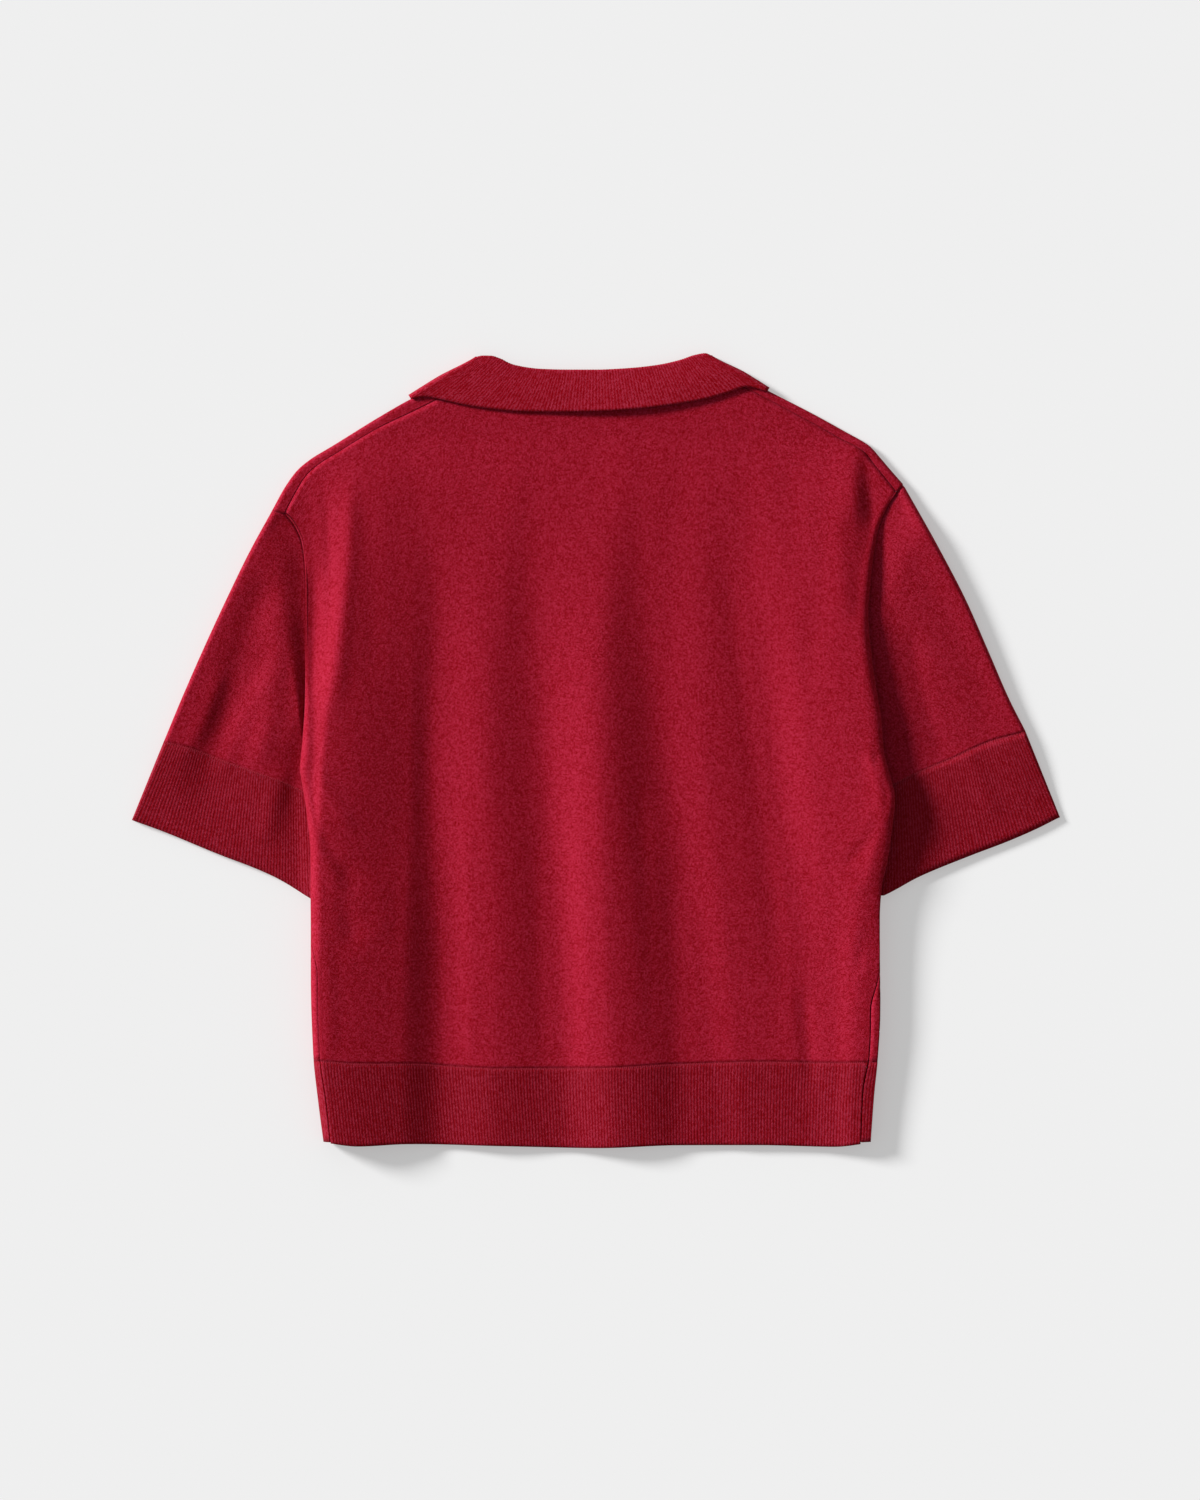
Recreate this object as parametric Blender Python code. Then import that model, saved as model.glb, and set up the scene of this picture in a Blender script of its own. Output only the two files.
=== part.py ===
"""Short-sleeved knitted polo blouse lying flat on its front, back side up.

Millimetres inside the script, metres in Blender.  +Z is up, +Y runs from the
hem to the collar, +X is the garment's right-hand edge as it is seen from
above.  The origin is at the middle of the plan outline, on the surface that
the garment lies on.

Every piece is an open outer surface given a knitted wall by Solidify.  The
body is a flattened tube: each section goes over the back, round the side and
along the floor.  The side seams lie a little way on to the back, the shoulder
seams too, so the front panel wraps round both edges.  The sleeves and cuffs
are flattened tubes, and the collar is one rib strip that stands up inside the
neck, folds over and falls outside.
"""
import math
from collections import namedtuple

import bpy
import numpy as np

# ---------------------------------------------------------------- sizes (mm)
WALL = 1.5            # plain knit
RIB_WALL = 1.7        # rib knit
SEAM_GAP = 0.3        # between neighbouring pieces
HEM_RIB_Y = -250.5    # seam between body and hem rib
HEM_Y = -315.5        # free edge of the hem rib
ARMPIT_LEFT = -16.0
ARMPIT_RIGHT = -20.0
V_DEPTH_Y = 145.0     # lowest point of the open front neck
NECK_LIFT = 2.3       # the front lies on the collar's front fall here
COLLAR_MID_Z = 4.15   # middle of the collar's stacked layers
STAND_R = 1.10        # stand layer, above and below that middle
FALL_R = 3.30         # fall layer, above and below that middle
SHOULDER_ROLL = 3.6   # plan radius of the rolled shoulder edge

# ------------------------------------------------------- tables, a row a section
# Side of the body from the hem to the armpit.  edge: outermost point from the
# middle line; roll: plan radius of the upper round; mid: height of the
# outermost point; seam: where the side seam lies (0 top, 1 outermost, 2 foot);
# foot: where the wall meets the floor.
Side = namedtuple("Side", "y edge roll mid seam foot")
SIDE_LEFT = [
    Side(-318.0, 217.3, 8.5, 9.0, 0.24, 208.0),
    Side(-283.0, 222.0, 9.0, 10.0, 0.18, 211.0),
    Side(-246.0, 226.0, 9.0, 11.0, 0.27, 214.0),
    Side(-180.0, 228.0, 9.0, 12.0, 0.25, 215.0),
    Side(-146.0, 228.0, 9.0, 12.5, 0.85, 215.0),
    Side(-116.0, 228.2, 9.0, 12.5, 1.20, 214.0),
    Side(-84.0, 228.0, 9.0, 12.0, 1.34, 214.0),
    Side(-50.0, 230.4, 9.0, 12.0, 1.42, 214.0),
    Side(-16.0, 236.5, 9.0, 12.0, 1.45, 215.0),
]
SIDE_RIGHT = [
    Side(-318.0, 219.3, 8.5, 10.0, 0.12, 208.0),
    Side(-274.0, 222.6, 9.0, 11.5, 0.10, 210.0),
    Side(-246.0, 225.4, 9.0, 12.5, 0.27, 212.0),
    Side(-208.0, 227.2, 9.0, 12.5, 0.22, 213.0),
    Side(-172.0, 226.4, 9.0, 13.0, 0.85, 212.0),
    Side(-135.0, 225.6, 9.0, 14.0, 1.15, 209.0),
    Side(-90.0, 225.4, 9.0, 15.5, 1.24, 207.0),
    Side(-64.0, 228.6, 9.0, 16.5, 1.30, 207.0),
    Side(-38.0, 234.0, 10.0, 16.5, 1.34, 208.0),
    Side(-20.0, 229.5, 9.0, 16.0, 1.36, 208.0),
]
# Back armhole from the armpit to the shoulder end.  seam, seam_z: where the
# sleeve joins, under the body's rolled edge where that edge stands further out.
Armhole = namedtuple("Armhole", "y edge roll mid seam seam_z")
ARMHOLE_LEFT = [
    Armhole(-16.0, 236.5, 9.0, 12.0, 231.4, 4.2),
    Armhole(10.0, 232.0, 9.0, 13.0, 228.6, 6.4),
    Armhole(40.0, 223.4, 10.0, 13.0, 221.6, 9.5),
    Armhole(72.0, 222.8, 11.0, 12.5, 221.8, 10.5),
    Armhole(112.0, 225.0, 11.0, 12.0, 224.4, 10.5),
    Armhole(145.0, 227.6, 10.0, 10.5, 227.0, 9.5),
    Armhole(166.0, 232.6, 8.0, 8.0, 232.2, 7.4),
    Armhole(180.0, 241.0, 5.0, 6.6, 240.7, 6.2),
    Armhole(189.5, 248.8, 3.0, 6.0, 248.6, 5.8),
]
ARMHOLE_RIGHT = [
    Armhole(-20.0, 229.5, 9.0, 16.0, 224.3, 6.6),
    Armhole(0.0, 222.0, 9.0, 14.6, 217.5, 8.6),
    Armhole(26.0, 225.6, 9.0, 14.4, 217.5, 9.4),
    Armhole(50.0, 221.5, 9.0, 14.0, 214.5, 9.8),
    Armhole(74.0, 217.6, 9.0, 13.4, 212.0, 9.8),
    Armhole(108.0, 213.0, 8.0, 12.4, 209.0, 9.4),
    Armhole(140.0, 213.2, 8.0, 10.8, 211.0, 8.6),
    Armhole(162.0, 216.0, 6.0, 9.0, 215.0, 8.0),
    Armhole(178.0, 221.5, 5.0, 7.4, 221.1, 7.0),
    Armhole(195.0, 232.5, 3.5, 6.5, 232.2, 6.2),
    Armhole(206.5, 240.5, 3.0, 6.0, 240.3, 5.8),
]
# Shoulder from its end to the neck: the rolled edge, and the seam on the back.
Shoulder = namedtuple("Shoulder", "edge_x edge_y seam_x seam_y")
SHOULDER_LEFT = [
    Shoulder(-259.2, 191.6, -248.8, 189.5),
    Shoulder(-248.5, 211.0, -240.0, 206.5),
    Shoulder(-238.5, 224.5, -232.0, 219.5),
    Shoulder(-228.8, 232.6, -224.2, 227.0),
    Shoulder(-208.8, 244.8, -205.4, 239.2),
    Shoulder(-176.6, 264.8, -172.8, 258.6),
    Shoulder(-152.8, 278.6, -147.5, 270.6),
    Shoulder(-137.0, 286.8, -131.2, 278.6),
    Shoulder(-104.5, 303.0, -107.5, 291.5),
]
SHOULDER_RIGHT = [
    Shoulder(245.6, 213.0, 240.5, 206.5),
    Shoulder(235.5, 224.5, 231.0, 218.5),
    Shoulder(227.0, 234.5, 222.4, 229.0),
    Shoulder(219.0, 243.4, 215.5, 238.0),
    Shoulder(197.5, 256.0, 194.6, 249.8),
    Shoulder(175.5, 268.2, 172.4, 262.2),
    Shoulder(138.6, 287.2, 135.6, 281.8),
    Shoulder(122.0, 296.0, 118.5, 290.6),
    Shoulder(99.5, 305.0, 102.5, 298.0),
]
# Back neckline between the neck points.
Neck = namedtuple("Neck", "x y")
BACK_NECK = [Neck(-107.5, 291.5), Neck(-75.0, 285.0), Neck(-40.0, 281.8),
             Neck(0.0, 281.0), Neck(40.0, 283.0), Neck(74.0, 289.0),
             Neck(102.5, 298.0)]
# Free hem edge and the seam above it, as small steps from their levels.
HemLine = namedtuple("HemLine", "x hem seam")
HEM_LINE = [HemLine(-219.0, 2.6, 2.2), HemLine(-190.0, -0.9, 0.0),
            HemLine(-150.0, 0.8, -0.4), HemLine(-75.0, -0.9, -4.0),
            HemLine(0.0, -2.4, -3.6), HemLine(65.0, -0.2, -0.6),
            HemLine(130.0, -0.1, 1.3), HemLine(190.0, -1.4, 0.6),
            HemLine(222.0, 2.4, 1.3)]
# Lengthwise folds of the back: crest and trough lines from left to right.
# x200 ... x316: their place at four levels up the body (y = 200, 0, -160, -316);
# z200 ... z316: height of the cloth's upper face at six levels
# (y = 200, 100, 0, -50, -170, -316).  Above y = 250 the back is flat.
Fold = namedtuple("Fold", "name x200 x0 x160 x316 z200 z100 z0 z50 z170 z316")
FOLDS = [
    Fold("left_rim",     -262, -240, -230, -220,  6.0, 11.0, 15.0, 17.0, 20.5, 18.0),
    Fold("left_crest",   -196, -211, -212, -206, 10.0, 18.5, 20.5, 21.5, 23.0, 20.0),
    Fold("left_slope",   -158, -166, -160, -160,  8.5, 12.5, 14.0, 15.0, 16.0, 14.0),
    Fold("trough_1",     -120, -127, -122, -121,  7.0,  6.0,  5.0,  4.8,  4.6,  4.6),
    Fold("crest_1",       -86,  -82,  -81,  -84,  7.2,  8.6,  9.6, 10.0, 10.2, 10.2),
    Fold("trough_2",      -56,  -46,  -40,  -32,  6.6,  5.6,  5.0,  4.8,  4.6,  4.6),
    Fold("crest_2",         2,    6,    9,   18,  7.2, 11.0, 14.5, 15.5, 16.5, 16.5),
    Fold("trough_3",       36,   56,   78,   96,  6.6,  6.0,  5.4,  5.2,  4.8,  4.6),
    Fold("crest_3",        84,   92,  108,  124,  7.0,  8.0,  8.8,  9.0,  8.4,  6.6),
    Fold("trough_4",      112,  143,  158,  160,  6.6,  7.4,  7.6,  7.6,  6.6,  5.4),
    Fold("right_crest",   197,  206,  212,  204, 10.5, 20.0, 25.5, 27.0, 22.0, 18.5),
    Fold("right_rim",     262,  236,  229,  222,  6.0, 17.0, 24.0, 25.5, 20.0, 16.5),
]
# Sleeves, out from the body (x is measured outward on both sides).
Out = namedtuple("Out", "x y")
SLEEVE_EDGE = {   # the folded outer edge, shoulder end to cuff seam
    "left": [Out(259.2, 191.6), Out(276.5, 160.0), Out(296.0, 120.0),
             Out(314.5, 80.0), Out(332.0, 40.0), Out(345.5, 7.5)],
    "right": [Out(245.6, 213.0), Out(275.0, 160.5), Out(296.0, 120.0),
              Out(313.6, 80.0), Out(331.0, 40.0), Out(343.5, 15.5)],
}
CUFF_SEAM = {     # outer end to underarm
    "left": [Out(345.5, 7.5), Out(325.0, 2.0), Out(302.4, -6.6),
             Out(280.0, -14.6), Out(257.6, -22.4), Out(229.5, -32.0)],
    "right": [Out(343.5, 15.5), Out(317.6, 8.0), Out(301.6, 1.6),
              Out(287.2, -5.2), Out(268.8, -12.6), Out(226.0, -30.0)],
}
CUFF_HEM = {
    "left": [Out(371.2, -55.6), Out(347.2, -64.4), Out(302.4, -82.8),
             Out(268.8, -95.8), Out(246.4, -106.4), Out(228.6, -116.4)],
    "right": [Out(371.2, -53.4), Out(354.4, -61.8), Out(329.6, -72.6),
              Out(300.8, -83.6), Out(268.8, -96.4), Out(225.8, -116.0)],
}
ARMPIT = {        # start of the sleeve's underarm fold
    "left": Out(230.4, -18.0),
    "right": Out(225.6, -21.5),
}
# Plan radius of the sleeve's two folded edges.
Fold2 = namedtuple("Fold2", "start cuff_seam hem")
OUTER_ROUND = {"left": Fold2(3.6, 3.3, 2.0), "right": Fold2(3.6, 3.3, 2.0)}
UNDER_ROUND = {"left": Fold2(2.1, 3.3, 3.3), "right": Fold2(3.5, 4.4, 4.4)}
# Height of the sleeve's upper face across it, outer edge to underarm.
Across = namedtuple("Across", "w shoulder cuff_seam hem")
SLEEVE_TOP = {
    "left": [Across(0.0, 8.6, 8.0, 4.0), Across(0.10, 9.0, 8.6, 4.6),
             Across(0.35, 7.0, 4.6, 4.2), Across(0.70, 7.4, 7.6, 5.0),
             Across(0.90, 4.6, 5.2, 6.4), Across(1.0, 4.2, 4.4, 6.6)],
    "right": [Across(0.0, 12.0, 8.6, 4.0), Across(0.10, 12.4, 9.0, 4.6),
              Across(0.35, 7.0, 5.4, 4.4), Across(0.70, 9.0, 9.5, 7.4),
              Across(1.0, 7.2, 7.6, 7.4)],
}
# Collar: fold line, free edge of the fall, and neckline, left to right on the
# back; then the ends of the same lines at the front.  A neckline height of 0
# is read from the back neckline.
Collar = namedtuple("Collar", "fold_x fold_y free_x free_y neck_x neck_y")
COLLAR_BACK = [
    Collar(-94.5, 313.4, -145.8, 281.7, -102.6, 300.5),
    Collar(-85.0, 314.0, -124.0, 279.8, -106.4, 292.0),
    Collar(-67.0, 308.2, -98.0, 274.8, -88.0, 0.0),
    Collar(-47.0, 304.2, -62.0, 270.9, -56.0, 0.0),
    Collar(-22.0, 303.5, -28.0, 269.9, -27.0, 0.0),
    Collar(0.0, 303.5, 0.0, 270.4, 0.0, 0.0),
    Collar(24.0, 304.8, 30.0, 272.2, 29.0, 0.0),
    Collar(48.0, 308.0, 60.0, 276.2, 56.0, 0.0),
    Collar(67.0, 313.0, 90.0, 281.6, 82.0, 0.0),
    Collar(80.0, 316.6, 113.0, 287.4, 101.6, 298.6),
    Collar(89.0, 314.4, 134.6, 286.6, 98.0, 303.0),
]
COLLAR_FRONT_END = {   # at the foot of the front V
    "left": Collar(-0.8, 152.0, -60.0, 147.0, -1.2, 147.2),
    "right": Collar(0.8, 152.0, 60.0, 147.0, 1.2, 147.2),
}


# -------------------------------------------------------------------- curves
def through(knots, values, at):
    """Smooth curve through (knots, values) that never overshoots them."""
    x = np.asarray(knots, float)
    v = np.asarray(values, float)
    h = np.diff(x)
    d = np.diff(v) / h
    m = np.zeros(len(x))
    for i in range(1, len(x) - 1):
        if d[i - 1] * d[i] > 0:
            a, b = 2 * h[i] + h[i - 1], h[i] + 2 * h[i - 1]
            m[i] = (a + b) / (a / d[i - 1] + b / d[i])
    m[0], m[-1] = d[0], d[-1]
    t = np.clip(np.asarray(at, float), x[0], x[-1])
    k = np.clip(np.searchsorted(x, t, side="right") - 1, 0, len(x) - 2)
    s = (t - x[k]) / h[k]
    return ((2 * s**3 - 3 * s**2 + 1) * v[k] + (s**3 - 2 * s**2 + s) * h[k] * m[k]
            + (3 * s**2 - 2 * s**3) * v[k + 1] + (s**3 - s**2) * h[k] * m[k + 1])


def column(rows, key, name, at):
    """Column `name` of a table read at `at` along its column `key`."""
    return through([getattr(r, key) for r in rows], [getattr(r, name) for r in rows], at)


def along(rows, t, x_name="x", y_name="y"):
    """Point at the fraction t of a table's polyline, by its own length."""
    px = np.array([getattr(r, x_name) for r in rows], float)
    py = np.array([getattr(r, y_name) for r in rows], float)
    s = np.concatenate([[0], np.cumsum(np.hypot(np.diff(px), np.diff(py)))])
    s /= s[-1]
    return through(s, px, t), through(s, py, t)


def ease(t):
    t = np.clip(t, 0.0, 1.0)
    return t * t * (3 - 2 * t)


# ------------------------------------------------------------- upper face height
LEVELS_X = (200.0, 0.0, -160.0, -316.0)
LEVELS_Z = (250.0, 200.0, 100.0, 0.0, -50.0, -170.0, -316.0)


def back_top(x, y):
    """Height of the back's upper face at plan points (x, y)."""
    x = np.asarray(x, float)
    y = np.asarray(y, float)
    shape = x.shape
    x, y = x.ravel(), y.ravel()
    kx, kz = [], []
    for f in FOLDS:
        kx.append(through([-v for v in LEVELS_X], [f.x200, f.x0, f.x160, f.x316], -y))
        kz.append(through([-v for v in LEVELS_Z],
                          [6.0, f.z200, f.z100, f.z0, f.z50, f.z170, f.z316], -y))
    kx, kz = np.array(kx), np.array(kz)
    z = np.empty(len(x))
    h = np.diff(kx, axis=0)
    d = np.diff(kz, axis=0) / h
    m = np.zeros_like(kz)
    same = d[:-1] * d[1:] > 1e-12
    a, b = 2 * h[1:] + h[:-1], h[1:] + 2 * h[:-1]
    d0 = np.where(same, d[:-1], 1.0)
    d1 = np.where(same, d[1:], 1.0)
    m[1:-1] = np.where(same, (a + b) / (a / d0 + b / d1), 0.0)
    m[0], m[-1] = d[0], d[-1]
    xc = np.clip(x, kx[0], kx[-1])
    k = np.clip((kx <= xc).sum(axis=0) - 1, 0, len(FOLDS) - 2)
    i = np.arange(len(x))
    s = (xc - kx[k, i]) / h[k, i]
    z = ((2 * s**3 - 3 * s**2 + 1) * kz[k, i] + (s**3 - 2 * s**2 + s) * h[k, i] * m[k, i]
         + (3 * s**2 - 2 * s**3) * kz[k + 1, i] + (s**3 - s**2) * h[k, i] * m[k + 1, i])
    return z.reshape(shape)


def front_under(x, y):
    """Height of the front's outer face: flat on the floor, and lifted by the
    collar's fall round the open neck."""
    ax = np.abs(np.asarray(x, float))
    y = np.asarray(y, float)
    # distance outward from the straight line of the V
    length = math.hypot(106.0, 302.0 - V_DEPTH_Y)
    d = (ax * (302.0 - V_DEPTH_Y) - (y - V_DEPTH_Y) * 106.0) / length
    low = ease((y - 86.0) / 40.0)
    return NECK_LIFT * (1 - ease((d - 64.0) / 30.0)) * low


# --------------------------------------------------------------- body sections
def rim_point(t, psi):
    """Point of a side's rim: t = (edge, roll, mid, top, foot_x, foot_z)."""
    edge, roll, mid, top, foot_x, foot_z = t
    if psi <= 1.0:
        a = psi * math.pi / 2
        return edge - roll * (1 - math.sin(a)), mid + (top - mid) * math.cos(a)
    a = (psi - 1.0) * math.pi / 2
    return (foot_x + (edge - foot_x) * math.cos(a),
            foot_z + (mid - foot_z) * (1 - math.sin(a)))


ARM_PSI = 1.72        # how far the rolled edge turns under above the armpit


def rim_of(sign, y):
    """Rim numbers of one side at level y, and where its seam lies."""
    side, hole = (SIDE_LEFT, ARMHOLE_LEFT) if sign < 0 else (SIDE_RIGHT, ARMHOLE_RIGHT)
    if y <= side[-1].y:
        edge, roll, mid, seam, foot = (float(column(side, "y", n, y))
                                       for n in ("edge", "roll", "mid", "seam", "foot"))
        top = float(back_top(np.array([sign * (edge - roll)]), np.array([y]))[0])
        return (edge, roll, mid, top, foot, 0.0), seam
    edge, roll, mid, seam_x, seam_z = (float(column(hole, "y", n, y))
                                       for n in ("edge", "roll", "mid", "seam", "seam_z"))
    top = float(back_top(np.array([sign * (edge - roll)]), np.array([y]))[0])
    a = (ARM_PSI - 1.0) * math.pi / 2
    foot_x = (seam_x - edge * math.cos(a)) / (1 - math.cos(a))
    foot_z = (seam_z - mid * (1 - math.sin(a))) / math.sin(a)
    return (edge, roll, mid, top, foot_x, foot_z), ARM_PSI


def top_line(x):
    """The back's upper edge: shoulder seams and neckline."""
    pts = [(r.seam_x, r.seam_y) for r in SHOULDER_LEFT]
    pts += [(r.x, r.y) for r in BACK_NECK[1:-1]]
    pts += [(r.seam_x, r.seam_y) for r in reversed(SHOULDER_RIGHT)]
    return np.interp(x, [p[0] for p in pts], [p[1] for p in pts])


def side_levels(n_low, n_high, low_y):
    """Left and right levels of the rows from low_y up to the shoulder ends."""
    left = np.concatenate([np.linspace(low_y, ARMPIT_LEFT, n_low + 1),
                           np.linspace(ARMPIT_LEFT, ARMHOLE_LEFT[-1].y, n_high + 1)[1:]])
    right = np.concatenate([np.linspace(low_y, ARMPIT_RIGHT, n_low + 1),
                            np.linspace(ARMPIT_RIGHT, ARMHOLE_RIGHT[-1].y, n_high + 1)[1:]])
    rise = np.concatenate([np.zeros(n_low), np.linspace(0, 1, n_high + 1) ** 1.25])
    return left, right, rise


def hem_step(x, name):
    return column(HEM_LINE, "x", name, x)


def back_shares(most):
    """Shares of the back's width, with a column at each row of the shoulder and
    neck tables, and none further apart than `most` mm."""
    x0 = -(ARMHOLE_LEFT[-1].edge - ARMHOLE_LEFT[-1].roll)
    x1 = ARMHOLE_RIGHT[-1].edge - ARMHOLE_RIGHT[-1].roll
    marks = [r.seam_x for r in SHOULDER_LEFT] + [r.x for r in BACK_NECK[1:-1]]
    marks += [r.seam_x for r in reversed(SHOULDER_RIGHT)]
    marks = [x0] + [m for m in marks if x0 + 1.0 < m < x1 - 1.0] + [x1]
    out = []
    for a, b in zip(marks[:-1], marks[1:]):
        n = max(1, math.ceil((b - a) / most))
        out += [((a + (b - a) * k / n) - x0) / (x1 - x0) for k in range(n)]
    return np.array(out + [1.0])


def back_row(y_left, y_right, shares, n_rim, inset):
    """One section of the back, seam to seam, as lists of x, y and z."""
    rim_l, psi_l = rim_of(-1, y_left)
    rim_r, psi_r = rim_of(1, y_right)
    xs, ys, zs = [], [], []
    for psi in np.linspace(psi_l - inset, 0, n_rim + 1)[:-1]:
        px, pz = rim_point(rim_l, psi)
        xs.append(-px), ys.append(y_left), zs.append(pz)
    x0, x1 = -(rim_l[0] - rim_l[1]), rim_r[0] - rim_r[1]
    t = shares
    x = x0 + (x1 - x0) * t
    y = y_left + (y_right - y_left) * t
    xs += list(x)
    ys += list(y)
    zs += [None] * len(x)
    for psi in np.linspace(0, psi_r - inset, n_rim + 1)[1:]:
        px, pz = rim_point(rim_r, psi)
        xs.append(px), ys.append(y_right), zs.append(pz)
    return xs, ys, zs


def back_grid(n_low, n_high, shares, n_rim):
    """Outer surface of the back panel, from the hem rib to its upper edge."""
    left, right, rise = side_levels(n_low, n_high, HEM_RIB_Y)
    top = back_row(left[-1], right[-1], shares, n_rim, 0.05)
    bulge = top_line(np.array(top[0])) - np.array(top[1])
    rows = []
    for j, (yl, yr, s) in enumerate(zip(left, right, rise)):
        xs, ys, zs = back_row(yl, yr, shares, n_rim, 0.05)
        x = np.array(xs)
        y = np.array(ys) + s * bulge
        y += hem_step(x, "seam") * (1 - ease((y - HEM_RIB_Y) / 60.0))
        if j == 0:
            y += SEAM_GAP / 2
        if j == len(left) - 1:
            y -= SEAM_GAP
        z = back_top(x, y)
        z = np.array([zz if given is None else given for zz, given in zip(z, zs)])
        rows.append(np.stack([x, y, z], axis=1))
    return np.array(rows)


def back_hem_grid(n_rows, shares, n_rim):
    """Back hem rib, from its free edge up to the seam."""
    rows = []
    for t in np.linspace(0, 1, n_rows + 1):
        level = HEM_Y + (HEM_RIB_Y - HEM_Y) * t
        xs, ys, zs = back_row(level, level, shares, n_rim, 0.05)
        x, y = np.array(xs), np.array(ys)
        y = y + (1 - t) * hem_step(x, "hem") + t * hem_step(x, "seam")
        if t == 1:
            y -= SEAM_GAP / 2
        z = back_top(x, y)
        z = np.array([zz if given is None else given for zz, given in zip(z, zs)])
        rows.append(np.stack([x, y, z], axis=1))
    return np.array(rows)


def front_row(y_left, y_right, columns, n_rim, inset):
    """One section of the front from side seam to side seam.  Below the armpit
    it climbs the side walls; above, it ends on the floor at the armhole."""
    ends = []
    for sign, y in ((-1, y_left), (1, y_right)):
        rim, psi = rim_of(sign, y)
        side = SIDE_LEFT if sign < 0 else SIDE_RIGHT
        if y <= side[-1].y:
            pts = [rim_point(rim, p) for p in np.linspace(psi + inset, 2.0, n_rim + 1)]
        else:
            hole = ARMHOLE_LEFT if sign < 0 else ARMHOLE_RIGHT
            up = 1 - ease((y - side[-1].y) / 14.0)
            seam = float(column(hole, "y", "seam", y)) - 2 * SEAM_GAP
            if y > hole[-1].y - 0.01:       # the foot of the shoulder roll
                seam = abs(roll_foot(SHOULDER_LEFT if sign < 0 else SHOULDER_RIGHT)[0][0])
            lift = up * (float(column(hole, "y", "seam_z", y)) - 0.6)
            pts = [(seam - 11.0 * t, lift * (1 - t) ** 2) for t in np.linspace(0, 1, n_rim + 1)]
        ends.append(pts)
    xs = [-p[0] for p in ends[0][:-1]]
    zs = [p[1] for p in ends[0][:-1]]
    ys = [y_left] * n_rim
    x0, x1 = -ends[0][-1][0], ends[1][-1][0]
    for t in columns:
        xs.append(x0 + (x1 - x0) * t)
        ys.append(y_left + (y_right - y_left) * t)
        zs.append(0.0)
    for p in reversed(ends[1][:-1]):
        xs.append(p[0]), zs.append(p[1]), ys.append(y_right)
    return xs, ys, zs


def roll_foot(rows):
    """Where the rolled shoulder edge leaves the floor."""
    out = []
    for r in rows:
        wide = math.hypot(r.seam_x - r.edge_x, r.seam_y - r.edge_y)
        f = SHOULDER_ROLL / wide
        out.append((r.edge_x + f * (r.seam_x - r.edge_x), r.edge_y + f * (r.seam_y - r.edge_y)))
    return out


def front_line(x):
    """The front's upper edge on the floor: feet of the shoulder rolls and V."""
    pts = roll_foot(SHOULDER_LEFT) + [(0.0, V_DEPTH_Y)] + roll_foot(SHOULDER_RIGHT)[::-1]
    return np.interp(x, [p[0] for p in pts], [p[1] for p in pts])


def front_columns(most):
    """Shares of the front's width, with a column at each row of the shoulder
    tables and at the foot of the V."""
    foot_l, foot_r = roll_foot(SHOULDER_LEFT), roll_foot(SHOULDER_RIGHT)
    x0, x1 = foot_l[0][0] + 11.0, foot_r[0][0] - 11.0
    marks = [f[0] for f in foot_l] + [0.0] + [f[0] for f in foot_r[::-1]]
    marks = [x0] + [m for m in marks if x0 + 1.0 < m < x1 - 1.0] + [x1]
    out = []
    for a, b in zip(marks[:-1], marks[1:]):
        n = max(1, math.ceil((b - a) / most))
        out += [((a + (b - a) * k / n) - x0) / (x1 - x0) for k in range(n)]
    return out + [1.0]


def build(name, rows, wall, material, keep=None, close=False):
    """Grid of points (rows x columns x 3, in mm) as a Solidify-walled object."""
    n, m = rows.shape[:2]
    points = [tuple(p * 0.001) for p in rows.reshape(-1, 3)]
    faces = []
    last = m if close else m - 1
    for j in range(n - 1):
        for i in range(last):
            i2 = (i + 1) % m
            if keep is not None and not keep(j, i):
                continue
            faces.append((j * m + i, j * m + i2, (j + 1) * m + i2, (j + 1) * m + i))
    used = sorted({k for f in faces for k in f})
    new = {k: i for i, k in enumerate(used)}
    mesh = bpy.data.meshes.new(name)
    mesh.from_pydata([points[k] for k in used], [], [tuple(new[k] for k in f) for f in faces])
    mesh.materials.append(material)
    mesh.update()
    mesh.shade_smooth()
    obj = bpy.data.objects.new(name, mesh)
    bpy.context.scene.collection.objects.link(obj)
    solid = obj.modifiers.new("wall", "SOLIDIFY")
    solid.thickness = wall * 0.001
    solid.offset = -1.0
    solid.use_even_offset = False
    solid.use_quality_normals = True
    return obj


def flip(rows):
    return rows[:, ::-1]


# ------------------------------------------------------------------- sleeves
def fold_edge(side, which, part, t):
    """A folded edge of the sleeve at the fraction t of a part: its outermost
    plan point, the direction it faces and its plan radius."""
    edge, seam, hem = SLEEVE_EDGE[side], CUFF_SEAM[side], CUFF_HEM[side]
    shoulder = (SHOULDER_LEFT if side == "left" else SHOULDER_RIGHT)[0]

    def at(t):
        if which == "outer":
            if part == "sleeve":
                x, y = along(edge, t)
                return np.array([float(x), float(y)])
            a, b = edge[-1], hem[0]
        else:
            a, b = (ARMPIT[side], seam[-1]) if part == "sleeve" else (seam[-1], hem[-1])
        return np.array([a.x + (b.x - a.x) * t, a.y + (b.y - a.y) * t])

    d = at(min(1.0, t + 0.04)) - at(max(0.0, t - 0.04))
    d /= np.linalg.norm(d)
    face = np.array([-d[1], d[0]]) if which == "outer" else np.array([d[1], -d[0]])
    if which == "outer" and part == "sleeve":
        body = np.array([abs(shoulder.edge_x) - abs(shoulder.seam_x),
                         shoulder.edge_y - shoulder.seam_y])
        body /= np.linalg.norm(body)
        face = body + (face - body) * ease(t / 0.2)
        face /= np.linalg.norm(face)
    r = (OUTER_ROUND if which == "outer" else UNDER_ROUND)[side]
    a, b = (r.start, r.cuff_seam) if part == "sleeve" else (r.cuff_seam, r.hem)
    return at(t), face, a + (b - a) * t


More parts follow.
